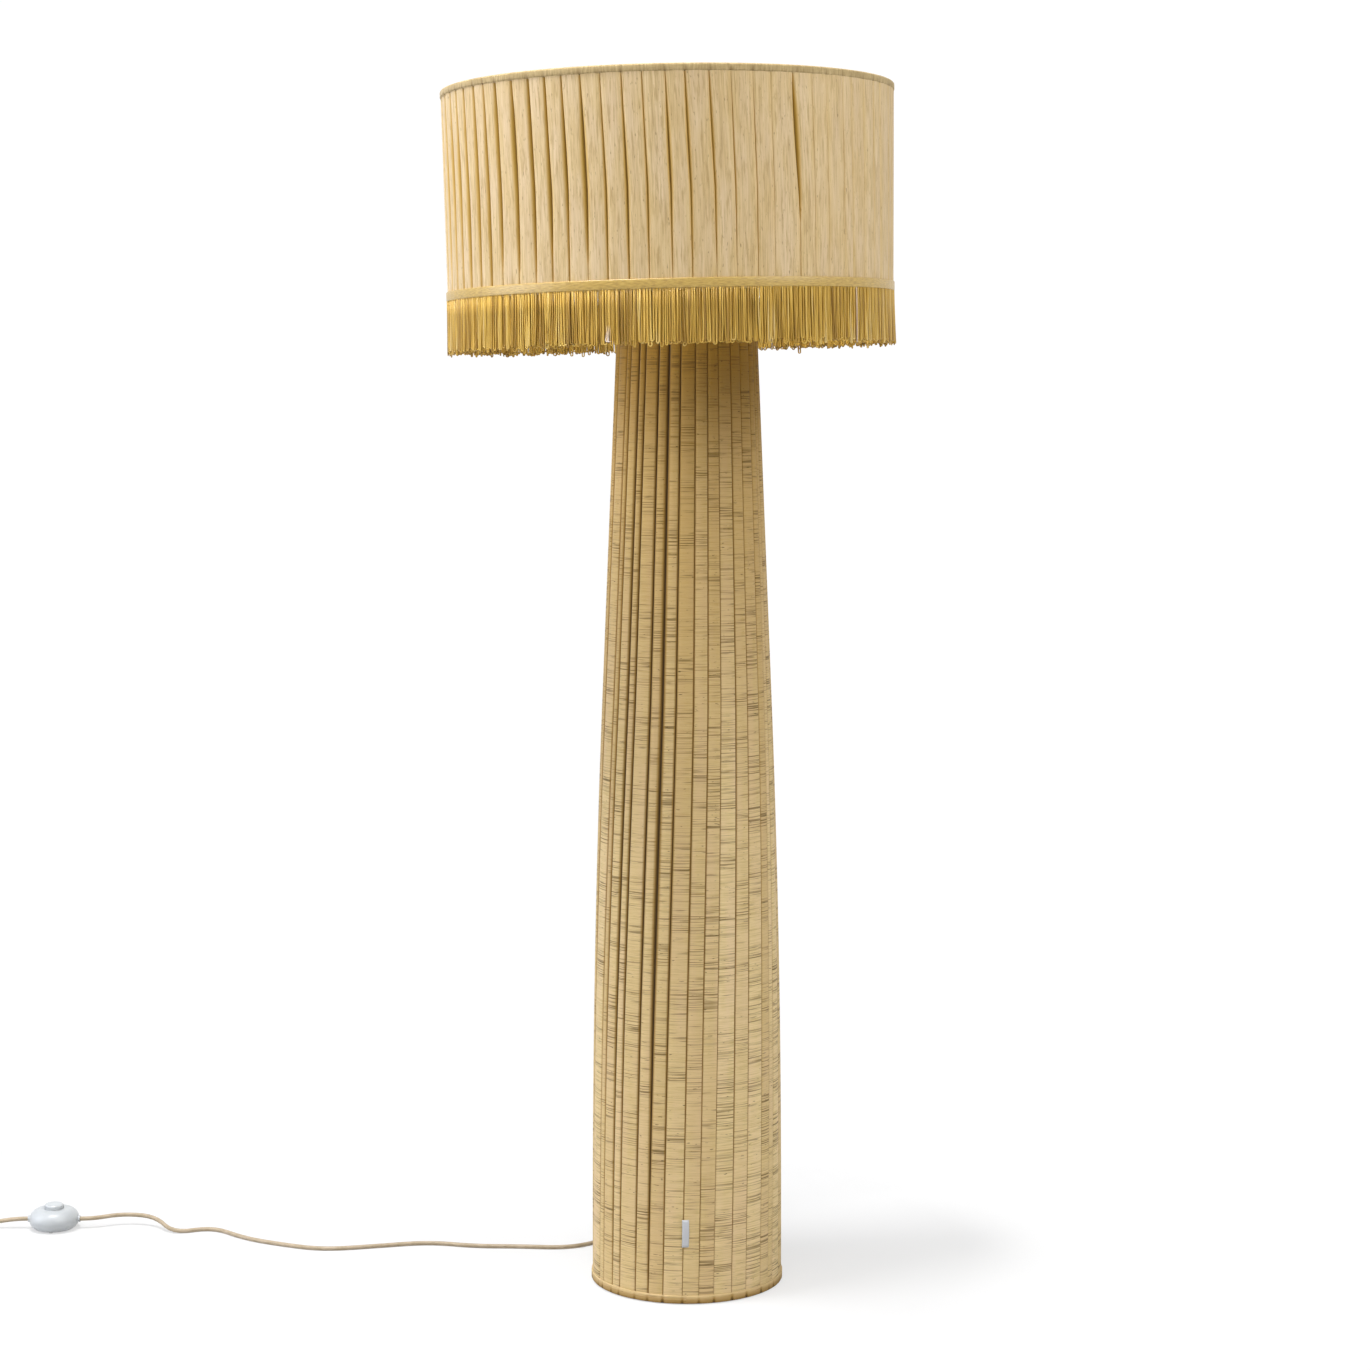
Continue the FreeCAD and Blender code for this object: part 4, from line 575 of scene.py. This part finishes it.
# Openings of the front gaps, each a size, a low end and a high end as shares of the height
SHADE_OPENINGS = {
    -17: (1.6, -0.1, 1.1), -16: (1.6, -0.1, 1.1), -15: (1.6, -0.1, 1.1), -14: (1.6, -0.1, 1.1),
    -13: (1.5, -0.1, 1.1), -12: (1.6, -0.1, 1.1), -11: (1.5, -0.1, 1.05), -10: (1.45, -0.1, 1.0),
    -9: (1.5, 0.1, 1.05), -8: (1.55, 0.08, 1.05), -7: (1.45, 0.05, 1.05), -6: (1.2, 0.0, 1.05),
    -5: (1.05, 0.0, 1.05), -4: (1.3, 0.1, 1.0), -3: (0.8, -0.1, 1.0), -2: (0.95, -0.1, 1.05),
    -1: (0.75, 0.0, 1.0), 0: (0.95, 0.05, 1.0), 1: (0.9, 0.0, 1.05), 2: (0.85, 0.1, 1.0),
    3: (0.42, 0.1, 0.95), 4: (0.32, 0.0, 0.9), 5: (0.12, 0.0, 1.0), 6: (1.5, 0.3, 0.96),
    7: (0.14, 0.0, 1.0), 8: (0.12, 0.0, 1.0), 9: (0.16, 0.0, 1.0), 10: (0.12, 0.0, 1.0),
    11: (0.15, 0.0, 1.0), 12: (0.2, 0.0, 1.0), 13: (0.12, 0.0, 1.0), 14: (0.2, 0.0, 1.0),
    15: (0.3, 0.0, 1.0)}
# Degrees by which a gap's top leans further than the rest
SHADE_LEANS = {6: -1.1, 2: -0.3, 1: -0.2}
# Degrees by which all gaps have turned at the foot, at 0.45 of the height and at the top
SHADE_TWIST = (0.1, 0.0, -1.0)
COLUMN_PLEATS = 37
COLUMN_FIRST = -7
COLUMN_GAPS = pleat_gaps(COLUMN_PLEATS, -2.1, {
    -7: 0.43, -6: 0.0, -5: 0.0, -4: -0.31, -3: -0.06, -2: -0.17, -1: -0.20, 0: 0.0, 1: 0.0,
    2: -0.07, 3: 0.11, 4: 0.16, 5: 0.40, 6: 0.24})
# Openings of the column's front gaps, the same at each height
COLUMN_OPENINGS = {
    -10: 1.2, -9: 1.2, -8: 1.1, -7: 0.75, -6: 0.75, -5: 1.35, -4: 1.05, -3: 1.15, -2: 1.3, -1: 0.8,
    0: 0.58, 1: 0.52, 2: 0.24, 3: 0.58, 4: 0.32, 5: 0.45, 6: 0.32, 7: 0.4}
SHADE_TOP = 1.4475
SHADE_FOOT = 1.205
SHADE_REACH = (0.2690, 0.2662)
# The trim is sewn on a little askew: its rise at +X
TRIM_TILT = 0.0024


def shade_reach(height):
    """Reach of the shade's folds, an even taper from top to foot."""
    return np.interp(height, [SHADE_FOOT, SHADE_TOP], [SHADE_REACH[1], SHADE_REACH[0]])


def make_shade_cloth(material):
    """The shade's cover: pleats up the leaning axis. Their gaps turn by about a degree from the foot
    to the top, and from 0.4 of the height some lean further, evenly."""
    heights = np.linspace(SHADE_FOOT - 0.0005, SHADE_TOP, 38)
    v = (heights - SHADE_FOOT) / (SHADE_TOP - SHADE_FOOT)
    opening = channel_opening(SHADE_PLEATS, SHADE_FIRST, SHADE_OPENINGS, v, seed=11, even=0.8)
    leans = np.zeros(SHADE_PLEATS)
    for number, lean in SHADE_LEANS.items():
        leans[number - SHADE_FIRST] = lean
    twist = np.interp(v, [0, 0.45, 1], SHADE_TWIST)
    gaps = SHADE_GAPS + np.radians(twist[:, None] + leans * np.clip(v[:, None] - 0.4, 0, 1) / 0.6)
    piece = pleated(
        "shade_cloth", gaps, opening, heights, shade_reach(heights) + 0.2 * MM, depth=4.0 * MM,
        half_gap=0.16, curve=1.9, bulge=0.45 * MM, material=material, leaning=True)
    thicken(piece, 0.35 * MM)
    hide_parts("shade_cover")
    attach(piece, "shade")


def rolled(name, section, material, leaning, count, seed, ripple, pinches, pinch,
           foot_shade=0.0, tilt=0.0):
    """A band carried round an axis: its section is a closed loop of (reach, height) points, its face
    ripples by four sines up to about ripple, and it is pinched in by pinch at given angles, by bell
    curves 1.6 mm to a side. "unshaded" carries painted shade: it falls from 1 where the band is
    pinched, most at its foot, and by foot_shade on the section's lowest fifth. The band rises by
    tilt towards +X, by a sine."""
    rng = np.random.default_rng(seed)
    angle = np.linspace(0, TURN, count, endpoint=False)
    section = np.array(section)
    middle = section.mean(axis=0)
    wave = sum(rng.uniform(0.3, 1) * np.sin(k * angle + rng.uniform(0, 6)) for k in (7, 19, 43, 88))
    apart = (angle[None, :] - pinches[:, None] + math.pi) % TURN - math.pi
    width = 1.6 * MM / middle[0]
    strength = rng.uniform(0.2, 1.0, len(pinches))[:, None]
    pinched = (strength * np.exp(-(apart / width) ** 2)).sum(axis=0)
    outward = ripple * wave / 2.5 - pinch * pinched
    far = (section[:, :1] - middle[0]) / np.abs(section[:, 0] - middle[0]).max()
    radius = section[:, :1] + outward[None, :] * np.clip(far, 0, 1)
    height = section[:, 1:] + tilt * np.sin(angle)[None, :]
    points = round_axis(angle[None, :], radius, height, leaning)
    length = np.append(0, np.cumsum(np.linalg.norm(np.diff(section, axis=0), axis=1)))
    thread = np.stack([
        np.broadcast_to(angle * middle[0] / MM, radius.shape),
        np.broadcast_to(length[:, None] / MM, radius.shape), np.zeros(radius.shape)], axis=-1)
    up = (section[:, 1:] - section[:, 1].min()) / np.ptp(section[:, 1])
    # Painted shade: darker in each pucker, most at the band's foot, and on the section's lowest
    # fifth
    unshaded = np.clip(1 - 0.9 * pinched[None, :] * (1 - up) - foot_shade * (up < 0.2), 0, 1)
    return surface(name, points, material, closed_up=True, values={
        "thread": thread, "unshaded": unshaded, "across": np.full(radius.shape, 0.5)})


def soft_rectangle(inner, outer, low, high, corner, steps=5):
    """A closed section, counterclockwise from its inner foot, with rounded corners."""
    points = []
    for centre_x, centre_z, start in (
            (inner + corner, low + corner, math.pi), (outer - corner, low + corner, 1.5 * math.pi),
            (outer - corner, high - corner, 0), (inner + corner, high - corner, 0.5 * math.pi)):
        for angle in np.linspace(start, start + math.pi / 2, steps):
            points.append((centre_x + corner * math.cos(angle), centre_z + corner * math.sin(angle)))
    return points


def make_shade_edges(cloth, braid):
    """The rolled top edge, the braid over the cloth's foot and the fringe's heading under it:
    rounded rectangles carried round the leaning axis."""
    top = SHADE_TOP + 2.6 * MM
    # The rim's pinches carry painted shade in its puckers
    rim = rolled(
        "shade_rim_binding", soft_rectangle(0.2620, 0.2703, top - 9.0 * MM, top, 2.3 * MM),
        cloth, True, count=1440, seed=5, ripple=0.3 * MM,
        pinches=SHADE_GAPS + math.radians(SHADE_TWIST[-1]), pinch=0.7 * MM, tilt=0.7 * MM)
    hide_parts("shade_top_binding")
    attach(rim, "shade")
    low = SHADE_FOOT - 0.2 * MM
    even = np.linspace(0, TURN, 90, endpoint=False)
    trim = rolled(
        "shade_braid", soft_rectangle(0.2662, 0.2684, low, low + 11.0 * MM, 0.9 * MM),
        braid, True, count=720, seed=6, ripple=0.15 * MM,
        pinches=even, pinch=0.15 * MM, tilt=TRIM_TILT)
    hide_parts("shade_trim")
    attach(trim, "shade")
    heading = rolled(
        "fringe_heading", soft_rectangle(0.2659, 0.2672, low - 2.0 * MM, low + 1.5 * MM, 0.6 * MM),
        braid, True, count=720, seed=7, ripple=0.2 * MM,
        pinches=even, pinch=0.2 * MM, tilt=TRIM_TILT)
    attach(heading, "shade")


def strands(name, lines, radius, material, numbers, undyed):
    """Many thin tubes in one piece: four points round each point of each line, set across its way by
    the line's outward direction and the cross product of that with the way."""
    count, steps = lines.shape[:2]
    way = np.gradient(lines, axis=1)
    way /= np.linalg.norm(way, axis=2, keepdims=True)
    outward = lines * np.array([1, 1, 0])
    outward[..., 0] += SHADE_SHIFT
    outward /= np.linalg.norm(outward, axis=2, keepdims=True)
    side = np.cross(way, outward)
    side /= np.linalg.norm(side, axis=2, keepdims=True)
    across = np.cross(side, way)
    turns = np.arange(4) * TURN / 4 + TURN / 8
    ring = (across[:, :, None, :] * np.cos(turns)[None, None, :, None]
            + side[:, :, None, :] * np.sin(turns)[None, None, :, None])
    points = lines[:, :, None, :] + ring * radius[:, :, None, None]
    index = np.arange(count * steps * 4).reshape(count, steps, 4)
    after = np.roll(index, -1, axis=2)
    sides = np.stack([index[:, :-1], after[:, :-1], after[:, 1:], index[:, 1:]], axis=-1)
    faces = np.concatenate([sides.reshape(-1, 4), index[:, 0][:, ::-1], index[:, -1]])
    length = np.cumsum(np.linalg.norm(np.diff(lines, axis=1, prepend=lines[:, :1]), axis=2), axis=1)
    thread = np.stack([
        np.broadcast_to(turns / TURN * PLY, (count, steps, 4)),
        np.broadcast_to(length[:, :, None] / MM, (count, steps, 4)),
        np.broadcast_to(numbers[:, None, None] * YARN_STEP, (count, steps, 4))], axis=-1)
    return from_arrays(
        name, points.reshape(-1, 3), faces, material,
        {"thread": thread.reshape(-1, 3),
         "undyed": np.broadcast_to(undyed[:, :, None], (count, steps, 4)).reshape(-1)})


# A loop's eleven points: which side of its middle, how far down its leg and how far into its turn
LOOP_SIDE = np.array([1, 1, 1, 1, 0.707, 0, -0.707, -1, -1, -1, -1])
LOOP_LEG = np.array([0, 0.35, 0.7, 1, 1, 1, 1, 1, 0.7, 0.35, 0])
LOOP_TURN = np.array([0, 0, 0, 0, 0.707, 1, 0.707, 0, 0, 0, 0])


def make_fringe(material):
    """Loop fringe: each yarn hangs straight down, turns in a half circle and goes back up. Legs are
    pinched together at the top and lean a little; lengths and widths vary, one loop in eight is
    wide, and in the two outer layers one yarn in seven hangs as a single end. One undyed end hangs
    at 53 degrees, and a few yarns at -15 degrees are undyed and tangled at their turns. The foot
    flares out by 0.6 mm, and by up to 1.9 mm at the right and behind."""
    rng = np.random.default_rng(23)
    top = SHADE_FOOT + 1.8 * MM
    made = []
    # Each layer's yarns, reach in metres, yarn radius and length in millimetres, and how loosely
    # its yarns stand
    for layer, (count, reach, yarn, length, loose) in enumerate((
            (430, 0.2674, 0.85, 62.3, 0.4), (440, 0.2660, 0.9, 61.8, 0.4),
            (470, 0.2644, 1.0, 60.3, 0.2))):
        centre = (np.arange(count) + rng.uniform(-loose, loose, count)) * TURN / count
        half = rng.uniform(1.0, 2.0, count)
        wide = rng.random(count) < 0.12
        half[wide] *= rng.uniform(1.3, 1.8, wide.sum())
        half[rng.random(count) < 0.35 * loose] = 0.25
        drop = length + rng.normal(0, 1.7, count)
        lean = rng.normal(0, 1.1, count)
        pinch = rng.uniform(0.8, 1.0, count)
        tangled = (np.abs(centre - TURN + math.radians(14.8)) < math.radians(0.8)) & (layer == 0)
        lone = (np.abs(centre - math.radians(53)) < math.radians(0.55)) & (layer == 0)
        half[lone] = 0.25
        drop[tangled] -= 3
        fall = (LOOP_LEG * (drop - half)[:, None] + LOOP_TURN * half[:, None]) / drop[:, None]
        spread = pinch[:, None] + (1 - pinch[:, None]) * fall ** 2
        waver = rng.normal(0, 0.22, (count, len(LOOP_SIDE))) * (LOOP_LEG > 0) * (LOOP_TURN == 0)
        waver += tangled[:, None] * rng.normal(0, 1.4, waver.shape) * (LOOP_LEG == 1)
        angle = centre[:, None] + (
            LOOP_SIDE * half[:, None] * spread + lean[:, None] * fall ** 1.5 + waver) * MM / reach
        flare = 0.6 + 1.3 * np.clip(np.sin(angle - 0.9), 0, 1)
        out = (flare * fall ** 1.5 + rng.normal(0, 0.2, (count, 1)) * fall) * MM
        height = top + TRIM_TILT * np.sin(angle) - drop[:, None] * MM * fall
        made.append((
            round_axis(angle, reach + out, height, True),
            np.full(fall.shape, yarn * MM), layer * 500 + np.arange(count),
            np.maximum(lone[:, None] * 0.6, tangled[:, None] * (LOOP_LEG == 1) * 0.9)))
    lines, radius, numbers, undyed = (np.concatenate(parts) for parts in zip(*made))
    piece = strands("fringe_loops", lines, radius, material, numbers, undyed)
    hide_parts("shade_fringe")
    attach(piece, "shade")


# ---------------------------------------------------------------- cloth of the column


SLEEVE_FOOT = 0.002
SLEEVE_TOP = 1.214


def sleeve_reach(height):
    """Reach of the column's folds: upright to 60 mm, a parabola to 711 mm, then a straight taper."""
    base, top, start, end = 0.1164, 0.0820, 0.060, 0.711
    slope = (base - top) / ((end - start) / 2 + SLEEVE_TOP - end)
    rise = np.clip(height, start, end) - start
    return base - slope * rise ** 2 / (2 * (end - start)) - slope * np.clip(height - end, 0, None)


def column_twist(height):
    """Degrees by which the pleats have turned at a height."""
    return np.interp(height, [0.0, 0.1, 0.35, 0.72, 1.105, 1.214], [-0.8, 0.0, 2.2, 6.5, 8.7, 9.3])


def make_column_cloth(material):
    """The column's cover: pleats up the axis. Their gaps turn with the height, and their openings
    are drawn together near the floor and the top."""
    heights = np.concatenate([
        np.linspace(SLEEVE_FOOT, 0.03, 5), np.linspace(0.05, 1.19, 74),
        np.linspace(1.2, SLEEVE_TOP, 3)])
    gather = np.interp(heights, [0.0, 0.06, 0.45, 1.15, SLEEVE_TOP], [0.3, 0.5, 1.0, 1.0, 0.45])
    given = {number: (size, 0.0, 1.0) for number, size in COLUMN_OPENINGS.items()}
    halfway = np.full(len(heights), 0.5)
    opening = channel_opening(COLUMN_PLEATS, COLUMN_FIRST, given, halfway, seed=17, even=0.75)
    gaps = COLUMN_GAPS + np.radians(column_twist(heights))[:, None]
    piece = pleated(
        "column_cloth", gaps, opening * gather[:, None], heights, sleeve_reach(heights),
        depth=2.9 * MM, half_gap=0.21, curve=1.8, bulge=0.5 * MM, material=material, leaning=False)
    thicken(piece, 0.3 * MM)
    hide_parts("column_cover")
    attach(piece, "lamp_frame")


def make_column_edges(cloth):
    """The flat hem at the floor and the binding at the top: rounded rectangles carried round the
    axis, pinched where the pleats' gaps meet them."""
    # Painted shadow along the hem's foot, where it meets the floor, and painted shade in the pinches
    # of both bands
    hem = rolled(
        "column_hem_band", soft_rectangle(0.1166, 0.1181, 1.2 * MM, 11.2 * MM, 0.7 * MM),
        cloth, False, count=900, seed=8, ripple=0.25 * MM,
        pinches=COLUMN_GAPS + math.radians(column_twist(0.0)), pinch=0.4 * MM, foot_shade=0.5)
    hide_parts("column_hem")
    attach(hem, "lamp_frame")
    top = SLEEVE_TOP + 1.3 * MM
    rim = rolled(
        "column_rim_binding", soft_rectangle(0.0745, 0.0836, top - 7.0 * MM, top, 0.9 * MM),
        cloth, False, count=600, seed=9, ripple=0.15 * MM,
        pinches=COLUMN_GAPS + math.radians(column_twist(SLEEVE_TOP)), pinch=0.4 * MM)
    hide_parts("column_top_binding")
    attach(rim, "lamp_frame")


def make_ribbon(material):
    """A blank ribbon loop: a thin slab on a grid. Its edges bend by a sine up its height, and its
    face stands off the pleats by half a sine up its height and a cosine across it."""
    half_width, foot, tall = 4.2 * MM, 0.0705, 0.0335
    u = np.linspace(-1, 1, 7)
    v = np.linspace(0, 1, 12)
    x = -0.002 + half_width * u[None, :] + 0.4 * MM * np.sin(2.5 * v)[:, None]
    z = (foot + tall * v)[:, None] + 0.2 * MM * u[None, :]
    y = -0.1169 - 0.9 * MM * np.sin(np.pi * v)[:, None] - 0.25 * MM * np.cos(2.2 * u)[None, :]
    points = np.stack(np.broadcast_arrays(x, y, z), axis=-1)
    piece = surface("ribbon_loop", points, material, closed_round=False)
    thicken(piece, 0.5 * MM)
    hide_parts("ribbon_tab")
    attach(piece, "lamp_frame")


# ---------------------------------------------------------------- leads


LEAD_RADIUS = 2.75
# Control points of the leads' middle lines, in millimetres: on the floor they are a radius up
LAMP_ROUTE = (
    (0.0, 140.7, 30.0), (0.0, 166.0, 30.0), (-9.0, 192.0, 17.0), (-34.0, 205.0, 4.0),
    (-66.0, 192.0, 2.75), (-94.0, 162.0, 2.75), (-122.0, 125.0, 2.75), (-158.0, 107.0, 2.75),
    (-215.0, 113.5, 2.75), (-272.0, 114.0, 2.75), (-332.0, 131.5, 2.75), (-396.0, 115.0, 2.75),
    (-464.0, 99.0, 2.75), (-520.0, 121.0, 2.75), (-573.0, 149.0, 2.75), (-621.0, 199.0, 2.75),
    (-669.0, 171.0, 2.75), (-699.0, 216.0, 12.5), (-745.0, 222.0, 14.0), (-779.0, 203.0, 13.0),
    (-796.0, 203.0, 13.0),
)
PLUG_ROUTE = (
    (-864.0, 203.0, 13.0), (-880.0, 203.0, 13.0), (-908.0, 202.6, 8.6), (-938.0, 201.5, 3.65),
    (-973.0, 201.5, 3.65),
)
# The coil's middle and pitch in millimetres, its smallest turn, and its lower layer's height
COIL_PLACE = (-985.0, 245.0)
COIL_PITCH = 6.0
COIL_INNER = 21.0
COIL_LOW = 3.65
# Quarter turns in the coil, and the one at which it reverses
COIL_QUARTERS = 29
COIL_BACK = 15
# Middle of the foot switch, in metres
SWITCH_PLACE = (-0.830, 0.203)


def coil_points():
    """The coil as the solid has it: clockwise from the front, in by a quarter of the pitch each
    quarter turn to its smallest, up one layer by half a cosine in the half turn where it reverses,
    and out again. It ends 12 mm straight on."""
    points = []
    for step in range(4 * COIL_QUARTERS + 1):
        quarter = step / 4
        radius = COIL_INNER + COIL_PITCH * abs(quarter - COIL_BACK) / 4
        share = min(max((quarter - COIL_BACK + 1) / 2, 0), 1)
        angle = TURN * (-0.25 - quarter / 4)
        points.append((
            COIL_PLACE[0] + radius * math.cos(angle), COIL_PLACE[1] + radius * math.sin(angle),
            COIL_LOW + COIL_PITCH * (1 - math.cos(math.pi * share)) / 2))
    last = points[-1]
    return points + [(last[0], last[1] + 12.0, last[2])]


def lead(name, points, material):
    """A round lead on a quadratic spline drawn by a route's control points, in millimetres."""
    curve = bpy.data.curves.new(name, "CURVE")
    curve.dimensions = "3D"
    curve.bevel_depth = LEAD_RADIUS * MM
    curve.bevel_resolution = 3
    curve.use_fill_caps = True
    curve.resolution_u = 5
    spline = curve.splines.new("NURBS")
    spline.points.add(len(points) - 1)
    for place, target in zip(points, spline.points):
        target.co = (place[0] * MM, place[1] * MM, place[2] * MM, 1)
    spline.order_u = 3
    spline.use_endpoint_u = True
    piece = bpy.data.objects.new(name, curve)
    bpy.context.collection.objects.link(piece)
    curve.materials.append(material)
    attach(piece, "lamp_frame")
    return piece


def make_button_spring(material):
    """The spring under the switch's button: a round wire on a helix. A point of its surface is the
    helix's own, moved by the wire's radius times a cosine outward and a sine down."""
    coils, coil_radius, wire = 5, 6.0 * MM, 0.5 * MM
    foot, top = 12.1 * MM, 26.5 * MM
    turn = np.linspace(0, coils * TURN, 121)[:, None]
    ring = np.arange(8) * TURN / 8
    reach = coil_radius + wire * np.cos(ring)
    height = foot + (top - foot) * turn / (coils * TURN) - wire * np.sin(ring)
    points = np.stack([
        SWITCH_PLACE[0] + reach * np.cos(turn), SWITCH_PLACE[1] + reach * np.sin(turn), height],
        axis=-1)
    index = np.arange(points[..., 0].size).reshape(len(turn), 8)
    after = np.roll(index, -1, axis=1)
    faces = np.stack([index[:-1], after[:-1], after[1:], index[1:]], axis=-1).reshape(-1, 4)
    cap = np.array([(0, 1, 2, 3), (0, 3, 4, 7), (4, 5, 6, 7)])
    faces = np.concatenate([faces, index[0][cap[:, ::-1]], index[-1][cap]])
    piece = from_arrays("button_spring", points.reshape(-1, 3), faces, material)
    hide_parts("switch_spring")
    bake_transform(piece)
    return piece


def make_leads(material, spring):
    """The lead to the foot switch and the lead beyond it, which is put away in a coil."""
    lamp = lead("lamp_lead", LAMP_ROUTE, material)
    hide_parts("lamp_cord")
    wound = lead("plug_lead", PLUG_ROUTE + tuple(coil_points()[1:]), material)
    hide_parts("plug_cord", "cord_coil")


# ---------------------------------------------------------------- the scene


def dress(names, material):
    """Gives CAD nodes their material."""
    for name in names:
        nodes[name].material_slots[0].material = material


def make_floor():
    """A level plane, 30 m across, from four corners."""
    mesh = bpy.data.meshes.new("floor")
    mesh.from_pydata([(-15, -15, 0), (15, -15, 0), (15, 15, 0), (-15, 15, 0)], [], [(0, 1, 2, 3)])
    floor = bpy.data.objects.new("floor", mesh)
    bpy.context.collection.objects.link(floor)
    mesh.materials.append(floor_paper())


bpy.context.scene.view_settings.view_transform = "Standard"
add_camera()
white_world()
make_floor()
add_lamp("overhead", (-0.92, -0.37, 4.0), (0, 0, 0.6), 0.6, 122)
add_lamp("high_left", (-1.2, -3.4, 6.0), (0, 0, 0.6), 7.0, 245)
add_lamp("left", (-4.9, -0.7, 2.1), (0, 0, 0.5), 3.6, 123, (0.95, 0.98, 1.09))
add_lamp("right", (4.2, -2.2, 4.2), (0, 0, 0.5), 3.6, 195)

cream_cloth = shade_cloth()
tan_cloth = column_cloth()
braid = braid_satin()
sheath = cord_sheath()
steel = metal("zinc_plated_steel", "#C6C6C2", "#A9A9A6", 0.35)

make_leads(sheath, make_button_spring(steel))
make_shade_cloth(cream_cloth)
make_shade_edges(rolled_cloth(), braid)
make_fringe(fringe_yarn())
make_column_cloth(tan_cloth)
make_column_edges(tan_cloth)
make_ribbon(ribbon())

dress(["foot_pad"], felt())
dress(["base_weight"], painted("cast_iron_black_enamel", "#2B2B2C", "#1E1E1F", 0.55))
dress(["base_washer", "base_nut", "stem_stud", "sleeve_spider", "switch_screws"], steel)
dress(["stem_foot", "stem_lower", "stem_coupler", "stem_upper", "sleeve_foot_ring",
       "sleeve_top_ring", "sleeve_ribs", "shade_carrier", "shade_top_ring", "shade_foot_ring",
       "shade_struts"],
      painted("white_enamel_steel", "#EFEDE8", "#E2DFD8", 0.35))
dress(["stem_end_bush", "stem_nipple", "lampholder_screw_shell", "lampholder_contact", "bulb_tip",
       "plug_pins", "switch_terminals"], metal("drawn_brass", "#D7B56D", "#B8924C", 0.3))
dress(["lampholder_cap", "lampholder_skirt", "shade_ring_nut"],
      moulded("moulded_urea_white", "#F0EEE9", "#E4E1DA", 0.35))
dress(["lampholder_core"], moulded("glazed_steatite_white", "#F2F0EA", "#E6E3DB", 0.25))
dress(["shade_liner", "sleeve_liner"], backing())
dress(["bulb_glass", "bulb_mount"], opal_glass())
dress(["bulb_cap"], metal("drawn_aluminium", "#D9DADB", "#C2C3C5", 0.3))
dress(["bulb_filament"], metal("tungsten_wire", "#8B8A88", "#6D6C6A", 0.4))
dress(["bulb_insulator", "switch_contact_block", "cord_tie"],
      moulded("moulded_phenolic_black", "#1F1F20", "#151516", 0.45))
dress(["switch_rubber_foot"], moulded("moulded_rubber_grey", "#4A4A4B", "#3C3C3D", 0.85))
dress(["switch_base_shell", "switch_housing", "switch_button", "switch_grommets"],
      moulded("moulded_abs_cool_white", "#BBBFC1", "#B4B8BB", 0.32))
dress(["column_strain_relief", "inner_lead", "plug_strain_relief", "plug_body"], sheath)
